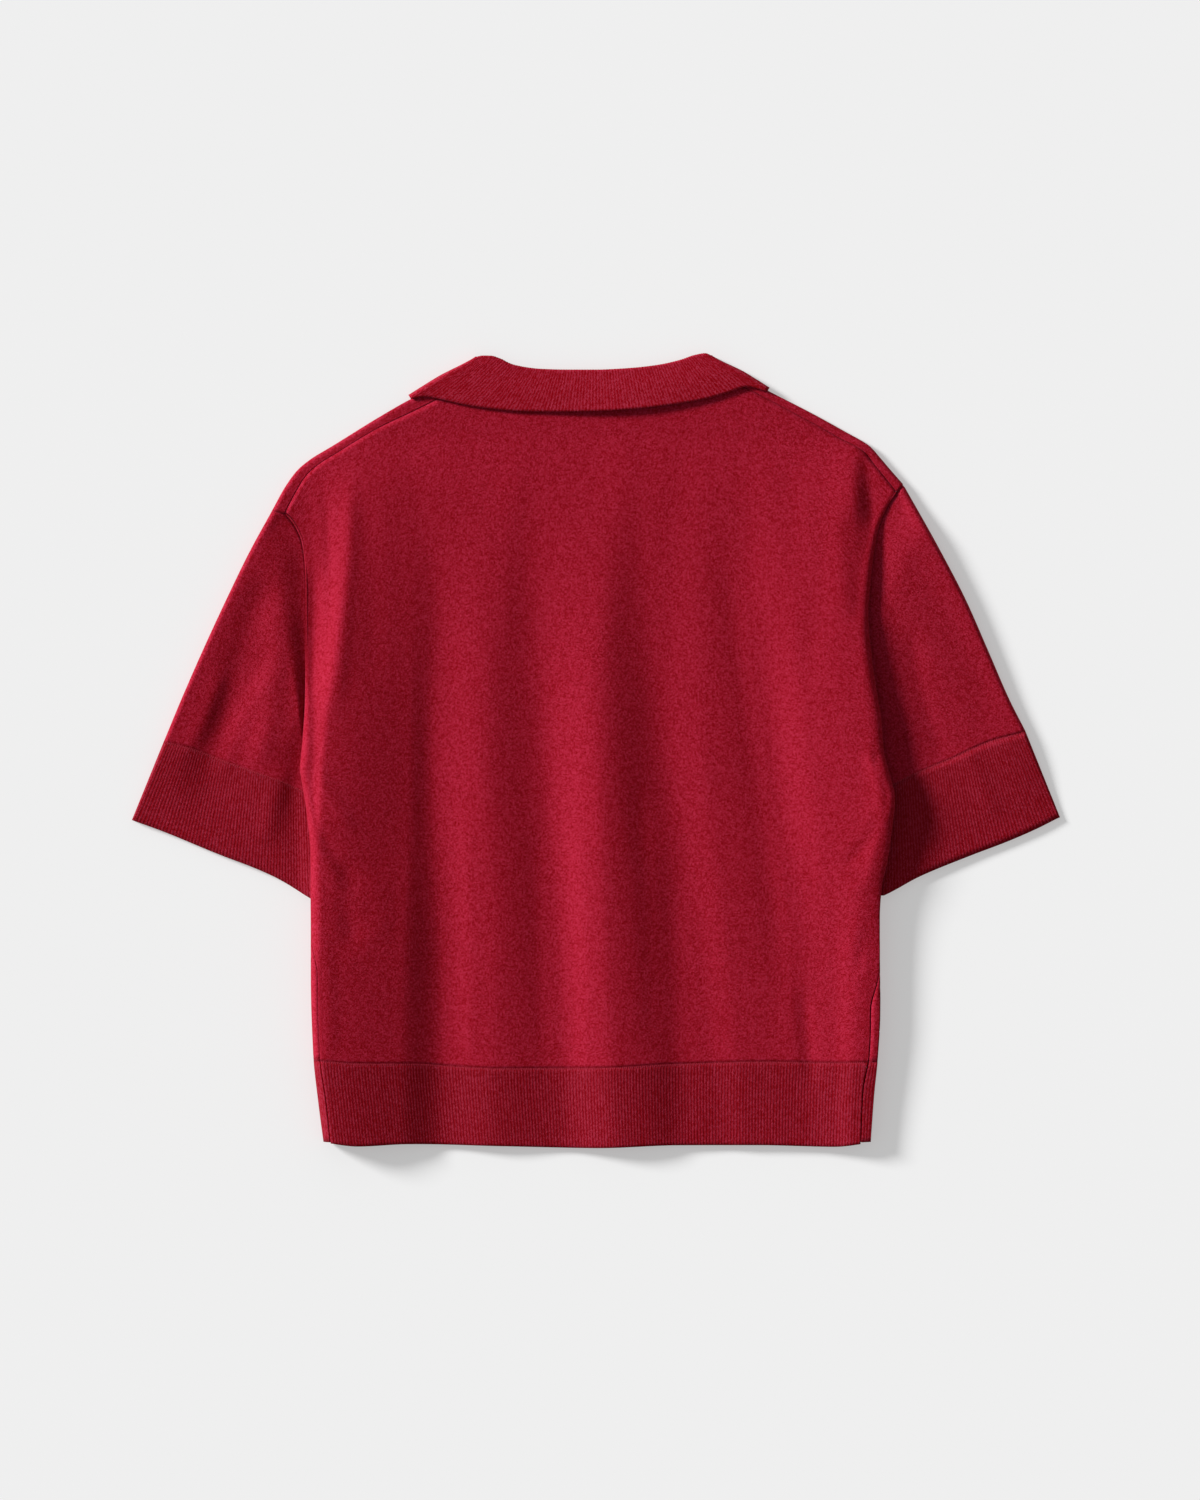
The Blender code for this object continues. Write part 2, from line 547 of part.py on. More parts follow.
def armhole_points(side, n_high):
    """Sleeve side of the armhole from the shoulder fold to the armpit: plan
    points of the upper and of the lower layer, and the upper layer's height."""
    hole = ARMHOLE_LEFT if side == "left" else ARMHOLE_RIGHT
    armpit = ARMPIT_LEFT if side == "left" else ARMPIT_RIGHT
    levels = np.linspace(armpit, hole[-1].y, n_high + 1)[::-1]
    e0, f0, r0 = fold_edge(side, "outer", "sleeve", 0.0)
    e1, f1, r1 = fold_edge(side, "under", "sleeve", 0.0)
    upper = [e0 - r0 * f0]
    height = [6.0]
    for y in levels[:-1]:
        upper.append(np.array([float(column(hole, "y", "seam", y)), y]))
        height.append(float(column(hole, "y", "seam_z", y)))
    upper.append(e1 - r1 * f1)
    height.append(hole[0].seam_z + 0.2)
    lower = [p.copy() for p in upper]
    a, b, c = upper[0], upper[1], upper[2]
    share = np.linalg.norm(b - a) / (np.linalg.norm(b - a) + np.linalg.norm(c - b))
    lower[1] = a + (c - a) * share
    return np.array(upper), np.array(lower), np.array(height)


def sleeve_grid(side, part, n_along, n_high, n_rim):
    """Rings of a sleeve (armhole to cuff seam) or of a cuff (seam to hem)."""
    sign = -1 if side == "left" else 1
    upper, lower, arm_z = armhole_points(side, n_high)
    w = np.concatenate([[0], np.cumsum(np.hypot(*np.diff(upper, axis=0).T))])
    w /= w[-1]
    top = SLEEVE_TOP[side]

    def inset_line(rows, t_part, t):
        """A crosswise seam or hem, pulled in to the tops of both folds."""
        x, y = along(rows, w)
        line = np.stack([x, y], axis=1)
        for end, which in ((0, "outer"), (-1, "under")):
            e, f, r = fold_edge(side, which, t_part, t)
            shift = (e - r * f) - line[end]
            fade = (1 - ease(w / 0.25)) if end == 0 else (1 - ease((1 - w) / 0.25))
            line = line + fade[:, None] * shift
        return line

    seam_line = inset_line(CUFF_SEAM[side], "sleeve", 1.0)
    hem_line = inset_line(CUFF_HEM[side], "cuff", 1.0)
    rings = []
    for j in range(n_along + 1):
        t = j / n_along
        e0, f0, r0 = fold_edge(side, "outer", part, t)
        e1, f1, r1 = fold_edge(side, "under", part, t)
        layers = []
        for start in (upper, lower):
            if part == "sleeve":
                straight = (1 - t) * start + t * seam_line
                d0 = (e0 - r0 * f0) - straight[0]
                d1 = (e1 - r1 * f1) - straight[-1]
                layers.append(straight + np.outer(1 - w, d0) + np.outer(w, d1))
            else:
                layers.append((1 - t) * seam_line + t * hem_line)
        a = column(top, "w", "shoulder", w)
        b = column(top, "w", "cuff_seam", w)
        c = column(top, "w", "hem", w)
        if part == "sleeve":
            near = 1 - ease(t / 0.4)
            h = near * arm_z + (1 - near) * (a + (b - a) * t)
        else:
            h = b + (c - b) * ease(t)
        ring = []
        up_arc = np.linspace(math.pi / 2, 0, n_rim + 1)[:-1]
        for q in up_arc:                                   # outer fold, upward
            p = e0 - r0 * (1 - math.sin(q)) * f0
            ring.append((p[0], p[1], h[0] / 2 * (1 + math.cos(q))))
        ring += [(p[0], p[1], z) for p, z in zip(layers[0], h)]
        for q in up_arc[::-1]:                             # underarm fold, down
            p = e1 - r1 * (1 - math.sin(q)) * f1
            ring.append((p[0], p[1], h[-1] / 2 * (1 + math.cos(q))))
        for q in up_arc[1:]:
            p = e1 - r1 * (1 - math.sin(q)) * f1
            ring.append((p[0], p[1], h[-1] / 2 * (1 - math.cos(q))))
        ring += [(p[0], p[1], 0.0) for p in layers[1][::-1]]
        for q in up_arc[:0:-1]:
            p = e0 - r0 * (1 - math.sin(q)) * f0
            ring.append((p[0], p[1], h[0] / 2 * (1 - math.cos(q))))
        rings.append(np.array(ring))
    rings = np.array(rings)

    def step(a, b, mm):
        """Pull ring a towards ring b by mm, to leave the gap of a seam."""
        d = rings[b, :, :2] - rings[a, :, :2]
        n = np.maximum(np.hypot(d[:, 0], d[:, 1]), 1e-6)
        rings[a, :, :2] += d / n[:, None] * np.minimum(mm, 0.4 * n)[:, None]

    if part == "sleeve":
        rings[0, :, 0] += 0.34
        rings[0, :, 1] -= 0.30
        step(-1, -2, SEAM_GAP / 2)
    else:
        step(0, 1, SEAM_GAP / 2)
    rings[:, :, 0] *= sign
    return rings


# -------------------------------------------------------------------- collar
def collar_columns(n_back, n_turn, n_front):
    """Plan points and turning angle of each column, left front to right front."""
    cols = []
    q = np.linspace(0, 1, len(COLLAR_BACK))
    names = Collar._fields

    rows = [c if c.neck_y else c._replace(neck_y=float(top_line(c.neck_x)) + SEAM_GAP / 2)
            for c in COLLAR_BACK]

    def back_at(t):
        p = np.array([float(through(q, [getattr(c, n) for c in rows], t)) for n in names])
        if 0.1 < t < 0.9:
            p[5] = float(top_line(p[4])) + SEAM_GAP / 2
        return p

    for side in ("left", "right"):
        start = back_at(0.0 if side == "left" else 1.0)
        end = np.array(COLLAR_FRONT_END[side], float)
        k, o = start[0:2], start[2:4]
        d = (o - k) / np.linalg.norm(o - k)
        out = np.array([d[1], -d[0]]) if side == "left" else np.array([-d[1], d[0]])
        if out[1] < 0:
            out = -out
        front = []
        for t in np.linspace(1, 0, n_front + 1)[:-1]:
            p = start + (end - start) * t
            follow = ease(t / 0.12)     # the neckline keeps to the panel's V
            foot = roll_foot(SHOULDER_LEFT if side == "left" else SHOULDER_RIGHT)[-1]
            v_x = (p[5] - V_DEPTH_Y) * foot[0] / (foot[1] - V_DEPTH_Y)
            v_x -= math.copysign(0.6, v_x)
            p[4] += follow * (v_x - p[4])
            p[2:4] += np.array([-1 if side == "left" else 1, -0.55]) * 7.0 * math.sin(math.pi * t)
            front.append((p, math.pi, out))
        turn = [(start, a, out) for a in np.linspace(math.pi, 0, n_turn + 1)]
        if side == "left":
            cols += front + turn
        else:
            right = list(reversed(front + turn))
    inner = [(back_at(t), 0.0, np.array([0.0, 1.0])) for t in np.linspace(0, 1, n_back + 1)[1:-1]]
    return cols + inner + right


def collar_grid(n_back, n_turn, n_front, n_stand, n_fold, n_fall):
    """Middle surface of the collar strip: neckline, stand, fold, fall, edge."""
    out_cols = []
    for p, angle, out in collar_columns(n_back, n_turn, n_front):
        fold, free, neck = p[0:2], p[2:4], p[4:6]
        up = np.array([out[0] * math.sin(angle), out[1] * math.sin(angle), math.cos(angle)])
        tip_s = (fold - neck) / max(np.linalg.norm(fold - neck), 1e-6)
        tip_f = (fold - free) / max(np.linalg.norm(fold - free), 1e-6)
        tip = tip_s + tip_f
        tip /= np.linalg.norm(tip)
        half = (FALL_R - STAND_R) / 2
        mid_r = (FALL_R + STAND_R) / 2
        base = np.array([0, 0, COLLAR_MID_Z])
        col = []
        for t in np.linspace(0, 1, n_stand + 1):
            q = neck + (fold - half * tip - neck) * t
            col.append(np.array([q[0], q[1], 0]) + base + STAND_R * up)
        for a in np.linspace(0, math.pi, n_fold + 1)[1:-1]:
            q = fold - half * tip + half * math.sin(a) * tip
            r = mid_r - half * math.cos(a)
            col.append(np.array([q[0], q[1], 0]) + base + r * up)
        for t in np.linspace(0, 1, n_fall + 1):
            q = (fold - half * tip) + (free - (fold - half * tip)) * t
            back = 0.5 * (1 + math.cos(angle))
            dome = back * (0.9 * math.sin(math.pi * t) + 0.7 * t * t)
            col.append(np.array([q[0], q[1], 0]) + base + (FALL_R + dome) * up)
        out_cols.append(col)
    grid = np.array(out_cols)            # columns x rows
    return grid


# ----------------------------------------------------------------- materials
def material(name, colour, roughness):
    mat = bpy.data.materials.new(name)
    mat.use_nodes = True
    bsdf = mat.node_tree.nodes["Principled BSDF"]
    bsdf.inputs["Base Color"].default_value = (*colour, 1.0)
    bsdf.inputs["Roughness"].default_value = roughness
    bsdf.inputs["Metallic"].default_value = 0.0
    return mat


def main():
    for obj in list(bpy.data.objects):
        bpy.data.objects.remove(obj, do_unlink=True)

    plain = (0.36, 0.008, 0.018)
    rib = (0.27, 0.007, 0.015)

    # back panel and back hem rib
    shares = back_shares(17.0)
    build("back_panel", back_grid(7, 8, shares, 3), WALL, material("back_knit", plain, 0.9))
    build("back_hem_rib", back_hem_grid(2, shares, 3), RIB_WALL, material("back_hem_rib", rib, 0.9))

    # front panel: rows up to the floor edge, then round the shoulder rolls
    left, right, rise = side_levels(7, 8, HEM_RIB_Y)
    n_rim = 3
    columns = front_columns(42.0)
    rows = []
    top = front_row(left[-1], right[-1], columns, n_rim, 0.05)
    tx = np.array(top[0])
    bulge = front_line(tx) - np.array(top[1])
    for j, (yl, yr, s) in enumerate(zip(left, right, rise)):
        xs, ys, zs = front_row(yl, yr, columns, n_rim, 0.05)
        x = np.array(xs)
        y = np.array(ys) + s * bulge
        if j == 0:
            y += hem_step(x, "seam") + SEAM_GAP / 2
        lift = front_under(x, y)
        z = np.maximum(np.array(zs), lift)
        rows.append(np.stack([x, y, z], axis=1))
    m = len(tx)
    neck_l, neck_r = roll_foot(SHOULDER_LEFT)[-1][0], roll_foot(SHOULDER_RIGHT)[-1][0]
    flat_rows = len(rows)
    last = rows[-1]
    for a in (40, 90, 140, 180, None):
        ring = last.copy()
        for i in range(m):
            x = last[i, 0]
            table = SHOULDER_LEFT if x < 0 else SHOULDER_RIGHT
            feet = roll_foot(table)
            q = np.interp(abs(x), [abs(f[0]) for f in feet][::-1], np.linspace(1, 0, len(feet)))
            k = np.linspace(0, 1, len(table))
            c = np.array([np.interp(q, k, [r.edge_x for r in table]),
                          np.interp(q, k, [r.edge_y for r in table])])
            s = np.array([np.interp(q, k, [r.seam_x for r in table]),
                          np.interp(q, k, [r.seam_y for r in table])])
            wide = np.linalg.norm(s - c)
            zt = float(back_top(np.array([s[0]]), np.array([s[1]]))[0])
            low = last[i, 2]
            if a is None:
                p = s + (c - s) / wide * SEAM_GAP
                z = zt
            else:
                ang = math.radians(a)
                p = c + (s - c) / wide * SHOULDER_ROLL * (1 - math.sin(ang))
                z = low + (zt - low) * (1 - math.cos(ang)) / 2
            ring[i] = (p[0], p[1], z)
        rows.append(ring)
    rows = np.array(rows)

    def keep(j, i):
        if j < flat_rows - 1:
            return True
        x0, x1 = last[i, 0], last[i + 1, 0]
        return (x1 <= neck_l + 0.01) or (x0 >= neck_r - 0.01)

    build("front_panel", flip(rows), WALL, material("front_knit", plain, 0.9),
          keep=lambda j, i: keep(j, m - 2 - i))

    # front hem rib
    rows = []
    for t in np.linspace(0, 1, 3):
        level = HEM_Y + 2.0 + (HEM_RIB_Y - HEM_Y - 2.0) * t
        xs, ys, zs = front_row(level, level, columns, n_rim, 0.05)
        x, y = np.array(xs), np.array(ys)
        y = y + t * hem_step(x, "seam") + (1 - t) * hem_step(x, "hem") * 0.3
        if t == 1:
            y -= SEAM_GAP / 2
        rows.append(np.stack([x, y, np.array(zs)], axis=1))
    build("front_hem_rib", flip(np.array(rows)), RIB_WALL, material("front_hem_rib", rib, 0.9))

    for side in ("left", "right"):
        ring = sleeve_grid(side, "sleeve", 6, 8, 3)
        cuff = sleeve_grid(side, "cuff", 2, 8, 3)
        if side == "left":
            ring, cuff = ring[:, ::-1], cuff[:, ::-1]
        build(side + "_sleeve", ring, WALL, material(side + "_sleeve_knit", plain, 0.9), close=True)
        build(side + "_cuff", cuff, RIB_WALL, material(side + "_cuff_rib", rib, 0.9), close=True)

    # collar: a middle surface, walled to both sides
    obj = build("collar", flip(collar_grid(14, 4, 4, 2, 3, 3)), RIB_WALL,
                material("collar_rib", rib, 0.9))
    obj.modifiers["wall"].offset = 0.0


main()
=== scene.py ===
"""Looks of the short-sleeved knitted polo blouse, laid flat with its back up.

Every cloth piece is rebuilt here as a fine shell on its CAD solid's form: the
same named sizes and tables as the model, read more closely, with the smaller
creases, the real ribs and the seams added.  Millimetres in the script, metres
in Blender.
"""
import math
from collections import namedtuple

import bpy
import mathutils
import numpy as np
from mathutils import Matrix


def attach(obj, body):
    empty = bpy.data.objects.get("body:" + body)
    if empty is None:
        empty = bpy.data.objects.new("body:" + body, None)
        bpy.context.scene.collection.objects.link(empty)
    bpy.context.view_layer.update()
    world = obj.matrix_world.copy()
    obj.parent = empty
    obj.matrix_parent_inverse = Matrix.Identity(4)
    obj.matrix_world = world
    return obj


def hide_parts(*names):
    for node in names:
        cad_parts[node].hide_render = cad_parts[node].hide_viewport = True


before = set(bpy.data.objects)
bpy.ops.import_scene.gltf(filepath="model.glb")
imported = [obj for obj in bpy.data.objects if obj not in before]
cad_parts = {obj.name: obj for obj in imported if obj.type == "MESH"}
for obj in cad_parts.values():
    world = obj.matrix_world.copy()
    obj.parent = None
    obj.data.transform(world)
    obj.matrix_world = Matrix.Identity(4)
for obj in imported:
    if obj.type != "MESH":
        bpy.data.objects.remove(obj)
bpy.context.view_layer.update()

# ---------------------------------------------------------------- sizes (mm)
WALL = 1.5            # plain knit
RIB_WALL = 1.7        # rib knit
SEAM_GAP = 0.3        # between neighbouring pieces
HEM_RIB_Y = -250.5    # seam between body and hem rib
HEM_Y = -315.5        # free edge of the hem rib
ARMPIT_LEFT = -16.0
ARMPIT_RIGHT = -20.0
V_DEPTH_Y = 145.0     # lowest point of the open front neck
NECK_LIFT = 2.3       # the front lies on the collar's front fall here
COLLAR_MID_Z = 4.15   # middle of the collar's stacked layers
STAND_R = 1.10        # stand layer, above and below that middle
FALL_R = 3.30         # fall layer, above and below that middle
SHOULDER_ROLL = 3.6   # plan radius of the rolled shoulder edge
RIB_PITCH = 2.45      # one rib of the collar, cuffs and hem

# ------------------------------------------------------- tables, a row a section
# Side of the body from the hem to the armpit.  edge: outermost point from the
# middle line; roll: plan radius of the upper round; mid: height of the
# outermost point; seam: where the side seam lies (0 top, 1 outermost, 2 foot);
# foot: where the wall meets the floor.
Side = namedtuple("Side", "y edge roll mid seam foot")
SIDE_LEFT = [
    Side(-318.0, 217.3, 8.5, 9.0, 0.24, 208.0),
    Side(-283.0, 222.0, 9.0, 10.0, 0.18, 211.0),
    Side(-246.0, 226.0, 9.0, 11.0, 0.27, 214.0),
    Side(-180.0, 228.0, 9.0, 12.0, 0.25, 215.0),
    Side(-146.0, 228.0, 9.0, 12.5, 0.85, 215.0),
    Side(-116.0, 228.2, 9.0, 12.5, 1.20, 214.0),
    Side(-84.0, 228.4, 8.0, 12.0, 1.34, 214.0),
    Side(-50.0, 231.4, 7.0, 11.5, 1.42, 214.0),
    Side(-16.0, 236.8, 6.5, 10.6, 1.45, 215.0),
]
SIDE_RIGHT = [
    Side(-318.0, 219.3, 9.5, 11.6, 0.12, 208.0),
    Side(-274.0, 222.6, 11.0, 12.6, 0.10, 210.0),
    Side(-246.0, 225.4, 12.0, 13.4, 0.27, 212.0),
    Side(-208.0, 227.4, 12.0, 14.4, 0.22, 213.0),
    Side(-172.0, 227.0, 11.5, 15.0, 0.85, 212.0),
    Side(-135.0, 226.8, 11.0, 16.0, 1.15, 209.0),
    Side(-108.0, 228.6, 12.0, 17.0, 1.22, 208.0),
    Side(-88.0, 233.0, 13.0, 17.8, 1.26, 208.0),
    Side(-64.0, 236.4, 9.5, 18.8, 1.30, 208.0),
    Side(-38.0, 239.0, 6.5, 19.6, 1.34, 209.0),
    Side(-20.0, 235.0, 7.5, 19.0, 1.36, 209.0),
]
# Back armhole from the armpit to the shoulder end.  seam, seam_z: where the
# sleeve joins, under the body's rolled edge where that edge stands further out.
Armhole = namedtuple("Armhole", "y edge roll mid seam seam_z")
ARMHOLE_LEFT = [
    Armhole(-16.0, 237.0, 6.5, 10.4, 232.0, 4.2),
    Armhole(10.0, 234.6, 6.0, 9.0, 231.6, 4.8),
    Armhole(40.0, 232.8, 4.0, 8.0, 231.0, 5.4),
    Armhole(72.0, 232.4, 3.0, 7.2, 231.4, 5.6),
    Armhole(112.0, 232.6, 2.6, 6.4, 231.9, 5.4),
    Armhole(145.0, 232.8, 2.6, 6.0, 232.3, 5.4),
    Armhole(166.0, 235.2, 2.6, 5.9, 234.8, 5.5),
    Armhole(180.0, 241.2, 2.6, 6.6, 240.8, 6.1),
    Armhole(189.5, 248.8, 2.6, 7.8, 248.6, 7.3),
]
ARMHOLE_RIGHT = [
    Armhole(-20.0, 235.0, 7.5, 19.0, 226.5, 6.2),
    Armhole(0.0, 230.0, 8.5, 17.4, 221.0, 6.6),
    Armhole(26.0, 228.0, 9.5, 16.4, 219.5, 7.0),
    Armhole(50.0, 224.0, 9.0, 15.4, 216.5, 7.2),
    Armhole(74.0, 220.6, 8.5, 14.4, 213.5, 7.2),
    Armhole(108.0, 217.8, 7.5, 13.2, 211.6, 7.0),
    Armhole(140.0, 220.0, 6.5, 11.4, 215.6, 6.8),
    Armhole(162.0, 223.0, 5.5, 9.0, 220.8, 6.4),
    Armhole(178.0, 226.2, 4.5, 7.4, 225.2, 6.2),
    Armhole(195.0, 233.4, 3.5, 6.4, 233.0, 6.0),
    Armhole(206.5, 240.5, 3.0, 6.0, 240.3, 5.8),
]
# Shoulder from its end to the neck: the rolled edge, and the seam on the back.
Shoulder = namedtuple("Shoulder", "edge_x edge_y seam_x seam_y")
SHOULDER_LEFT = [
    Shoulder(-259.2, 191.6, -248.8, 189.5),
    Shoulder(-248.5, 211.0, -240.0, 206.5),
    Shoulder(-238.5, 224.5, -232.0, 219.5),
    Shoulder(-228.8, 232.6, -224.2, 227.0),
    Shoulder(-208.8, 244.8, -205.4, 239.2),
    Shoulder(-176.6, 264.8, -172.8, 258.6),
    Shoulder(-152.8, 278.6, -147.5, 270.6),
    Shoulder(-137.0, 286.8, -131.2, 278.6),
    Shoulder(-104.5, 303.0, -107.5, 291.5),
]
SHOULDER_RIGHT = [
    Shoulder(245.6, 213.0, 240.5, 206.5),
    Shoulder(235.5, 224.5, 231.0, 218.5),
    Shoulder(227.0, 234.5, 222.4, 229.0),
    Shoulder(219.0, 243.4, 215.5, 238.0),
    Shoulder(197.5, 256.0, 194.6, 249.8),
    Shoulder(175.5, 268.2, 172.4, 262.2),
    Shoulder(138.6, 287.2, 135.6, 281.8),
    Shoulder(122.0, 296.0, 118.5, 290.6),
    Shoulder(99.5, 305.0, 102.5, 298.0),
]
# Back neckline between the neck points.
Neck = namedtuple("Neck", "x y")
BACK_NECK = [Neck(-107.5, 291.5), Neck(-75.0, 285.0), Neck(-40.0, 281.8),
             Neck(0.0, 281.0), Neck(40.0, 283.0), Neck(74.0, 289.0),
             Neck(102.5, 298.0)]
# Free hem edge and the seam above it, as small steps from their levels.
HemLine = namedtuple("HemLine", "x hem seam")
HEM_LINE = [HemLine(-219.0, 2.6, 2.2), HemLine(-190.0, -0.9, 0.0),
            HemLine(-150.0, 0.8, -0.4), HemLine(-75.0, -0.9, -4.0),
            HemLine(0.0, -2.4, -3.6), HemLine(65.0, -0.2, -0.6),
            HemLine(130.0, -0.1, 1.3), HemLine(190.0, -1.4, 0.6),
            HemLine(222.0, 2.4, 1.3)]
# Lengthwise folds of the back: crest and trough lines from left to right.
# x200 ... x316: their place at four levels up the body (y = 200, 0, -160, -316);
# z200 ... z316: height of the cloth's upper face at six levels
# (y = 200, 100, 0, -50, -170, -316).  Above y = 250 the back is flat.
Fold = namedtuple("Fold", "name x200 x0 x160 x316 z200 z100 z0 z50 z170 z316")
FOLDS = [
    Fold("left_rim",     -262, -241, -233, -221,  9.6, 11.4, 17.4, 19.4, 20.6, 16.4),
    Fold("left_valley",  -231, -227, -228, -217,  6.6,  7.4, 15.8, 19.0, 22.0, 18.0),
    Fold("left_crest",   -187, -216, -224, -209, 11.0, 16.6, 20.2, 21.8, 23.2, 20.4),
    Fold("left_slope",   -152, -150, -156, -158,  9.4,  9.6,  9.4, 10.2, 14.4, 13.6),
    Fold("trough_1",     -120, -130, -122, -121,  8.4,  6.4,  4.6,  4.4,  4.4,  4.4),
    Fold("crest_1",       -86,  -87,  -80,  -82,  8.4,  9.4, 10.0, 10.2,  9.4,  8.0),
    Fold("trough_2",      -56,  -44,  -33,  -27,  7.8,  6.4,  4.8,  4.6,  4.4,  4.4),
    Fold("crest_2",         2,    5,   10,   19,  8.4, 12.4, 15.6, 16.2, 15.2, 12.6),
    Fold("trough_3",       36,   56,   82,   98,  7.9,  7.4,  5.8,  5.6,  5.2,  4.8),
    Fold("crest_3",        84,   90,  107,  122,  8.0,  9.0,  9.0,  8.6,  7.4,  6.2),
    Fold("trough_4",      112,  138,  157,  168,  7.6,  8.0,  7.6,  7.0,  6.2,  5.8),
    Fold("right_shelf",   150,  172,  189,  190,  9.2, 14.2, 15.8, 15.6, 10.6,  8.4),
    Fold("right_crest",   204,  209,  211,  205, 13.6, 18.6, 21.0, 20.8, 16.0, 12.0),
    Fold("right_foot",    221,  226,  225,  215,  8.2, 19.0, 22.2, 23.2, 16.6, 12.4),
    Fold("right_rim",     262,  236,  231,  222,  7.6, 18.2, 21.8, 22.6, 16.0, 12.0),
]
# Sleeves, out from the body (x is measured outward on both sides).
Out = namedtuple("Out", "x y")
SLEEVE_EDGE = {   # the folded outer edge, shoulder end to cuff seam
    "left": [Out(259.2, 191.6), Out(276.5, 160.0), Out(296.0, 120.0),
             Out(314.5, 80.0), Out(332.0, 40.0), Out(345.5, 7.5)],
    "right": [Out(245.6, 213.0), Out(275.0, 160.5), Out(296.0, 120.0),
              Out(313.6, 80.0), Out(331.0, 40.0), Out(343.5, 15.5)],
}
CUFF_SEAM = {     # outer end to underarm
    "left": [Out(345.5, 7.5), Out(325.0, 2.0), Out(302.4, -6.6),
             Out(280.0, -14.6), Out(257.6, -22.4), Out(227.0, -33.0)],
    "right": [Out(343.5, 15.5), Out(317.6, 8.0), Out(301.6, 1.6),
              Out(287.2, -5.2), Out(268.8, -12.6), Out(226.0, -30.0)],
}
CUFF_HEM = {
    "left": [Out(371.2, -55.6), Out(347.2, -64.4), Out(302.4, -82.8),
             Out(268.8, -95.8), Out(246.4, -106.4), Out(223.6, -119.0)],
    "right": [Out(371.2, -53.4), Out(354.4, -61.8), Out(329.6, -72.6),
              Out(300.8, -83.6), Out(268.8, -96.4), Out(225.8, -116.0)],
}
ARMPIT = {        # start of the sleeve's underarm fold
    "left": Out(230.4, -18.0),
    "right": Out(225.6, -21.5),
}
# Plan radius of the sleeve's two folded edges.
Fold2 = namedtuple("Fold2", "start cuff_seam hem")
OUTER_ROUND = {"left": Fold2(3.6, 3.3, 2.0), "right": Fold2(3.6, 3.3, 2.0)}
UNDER_ROUND = {"left": Fold2(2.1, 3.3, 3.3), "right": Fold2(3.5, 4.4, 4.4)}
# Height of the sleeve's upper face across it, outer edge to underarm.
Across = namedtuple("Across", "w shoulder cuff_seam hem")
SLEEVE_TOP = {
    "left": [Across(0.0, 12.0, 9.4, 4.6), Across(0.12, 11.6, 8.8, 4.2),
             Across(0.35, 9.8, 4.6, 4.2), Across(0.70, 10.8, 8.2, 4.6),
             Across(0.90, 6.8, 4.8, 5.0), Across(1.0, 5.4, 6.0, 8.4)],
    "right": [Across(0.0, 13.0, 7.6, 3.4), Across(0.10, 11.6, 7.4, 3.8),
              Across(0.35, 8.8, 5.6, 3.8), Across(0.70, 6.8, 5.0, 5.0),
              Across(1.0, 6.2, 6.2, 8.0)],
}
# Collar: fold line, free edge of the fall, and neckline, left to right on the
# back; then the ends of the same lines at the front.  A neckline height of 0
# is read from the back neckline.
Collar = namedtuple("Collar", "fold_x fold_y free_x free_y neck_x neck_y")
COLLAR_BACK = [
    Collar(-95.9, 313.9, -148.2, 281.4, -102.6, 300.5),
    Collar(-90.5, 315.0, -137.0, 283.0, -105.6, 296.5),
    Collar(-84.0, 314.9, -124.0, 280.8, -106.4, 292.0),
    Collar(-76.5, 312.6, -111.0, 277.8, -98.0, 0.0),
    Collar(-66.4, 307.9, -97.0, 275.2, -86.0, 0.0),
    Collar(-44.0, 304.4, -60.0, 271.3, -54.0, 0.0),
    Collar(-22.0, 303.8, -28.0, 270.9, -27.0, 0.0),
    Collar(0.0, 303.8, 0.0, 271.3, 0.0, 0.0),
    Collar(26.0, 305.0, 32.0, 273.2, 30.0, 0.0),
    Collar(50.0, 307.7, 62.0, 276.7, 57.0, 0.0),
    Collar(68.0, 311.8, 88.0, 281.2, 80.0, 0.0),
    Collar(78.5, 315.4, 106.0, 286.2, 97.0, 0.0),
    Collar(87.0, 316.9, 122.0, 291.0, 101.6, 298.6),
    Collar(92.0, 315.0, 137.0, 287.2, 98.0, 303.0),
]
COLLAR_FRONT_END = {   # at the foot of the front V
    "left": Collar(-0.8, 152.0, -60.0, 147.0, -1.2, 147.2),
    "right": Collar(0.8, 152.0, 60.0, 147.0, 1.2, 147.2),
}


# -------------------------------------------------------------------- curves
def through(knots, values, at):
    """Smooth curve through (knots, values) that never overshoots them."""
    x = np.asarray(knots, float)
    v = np.asarray(values, float)
    h = np.diff(x)
    d = np.diff(v) / h
    m = np.zeros(len(x))
    for i in range(1, len(x) - 1):
        if d[i - 1] * d[i] > 0:
            a, b = 2 * h[i] + h[i - 1], h[i] + 2 * h[i - 1]
            m[i] = (a + b) / (a / d[i - 1] + b / d[i])
    m[0], m[-1] = d[0], d[-1]
    t = np.clip(np.asarray(at, float), x[0], x[-1])
    k = np.clip(np.searchsorted(x, t, side="right") - 1, 0, len(x) - 2)
    s = (t - x[k]) / h[k]
    return ((2 * s**3 - 3 * s**2 + 1) * v[k] + (s**3 - 2 * s**2 + s) * h[k] * m[k]
            + (3 * s**2 - 2 * s**3) * v[k + 1] + (s**3 - s**2) * h[k] * m[k + 1])


def column(rows, key, name, at):
    """Column `name` of a table read at `at` along its column `key`."""
    return through([getattr(r, key) for r in rows], [getattr(r, name) for r in rows], at)


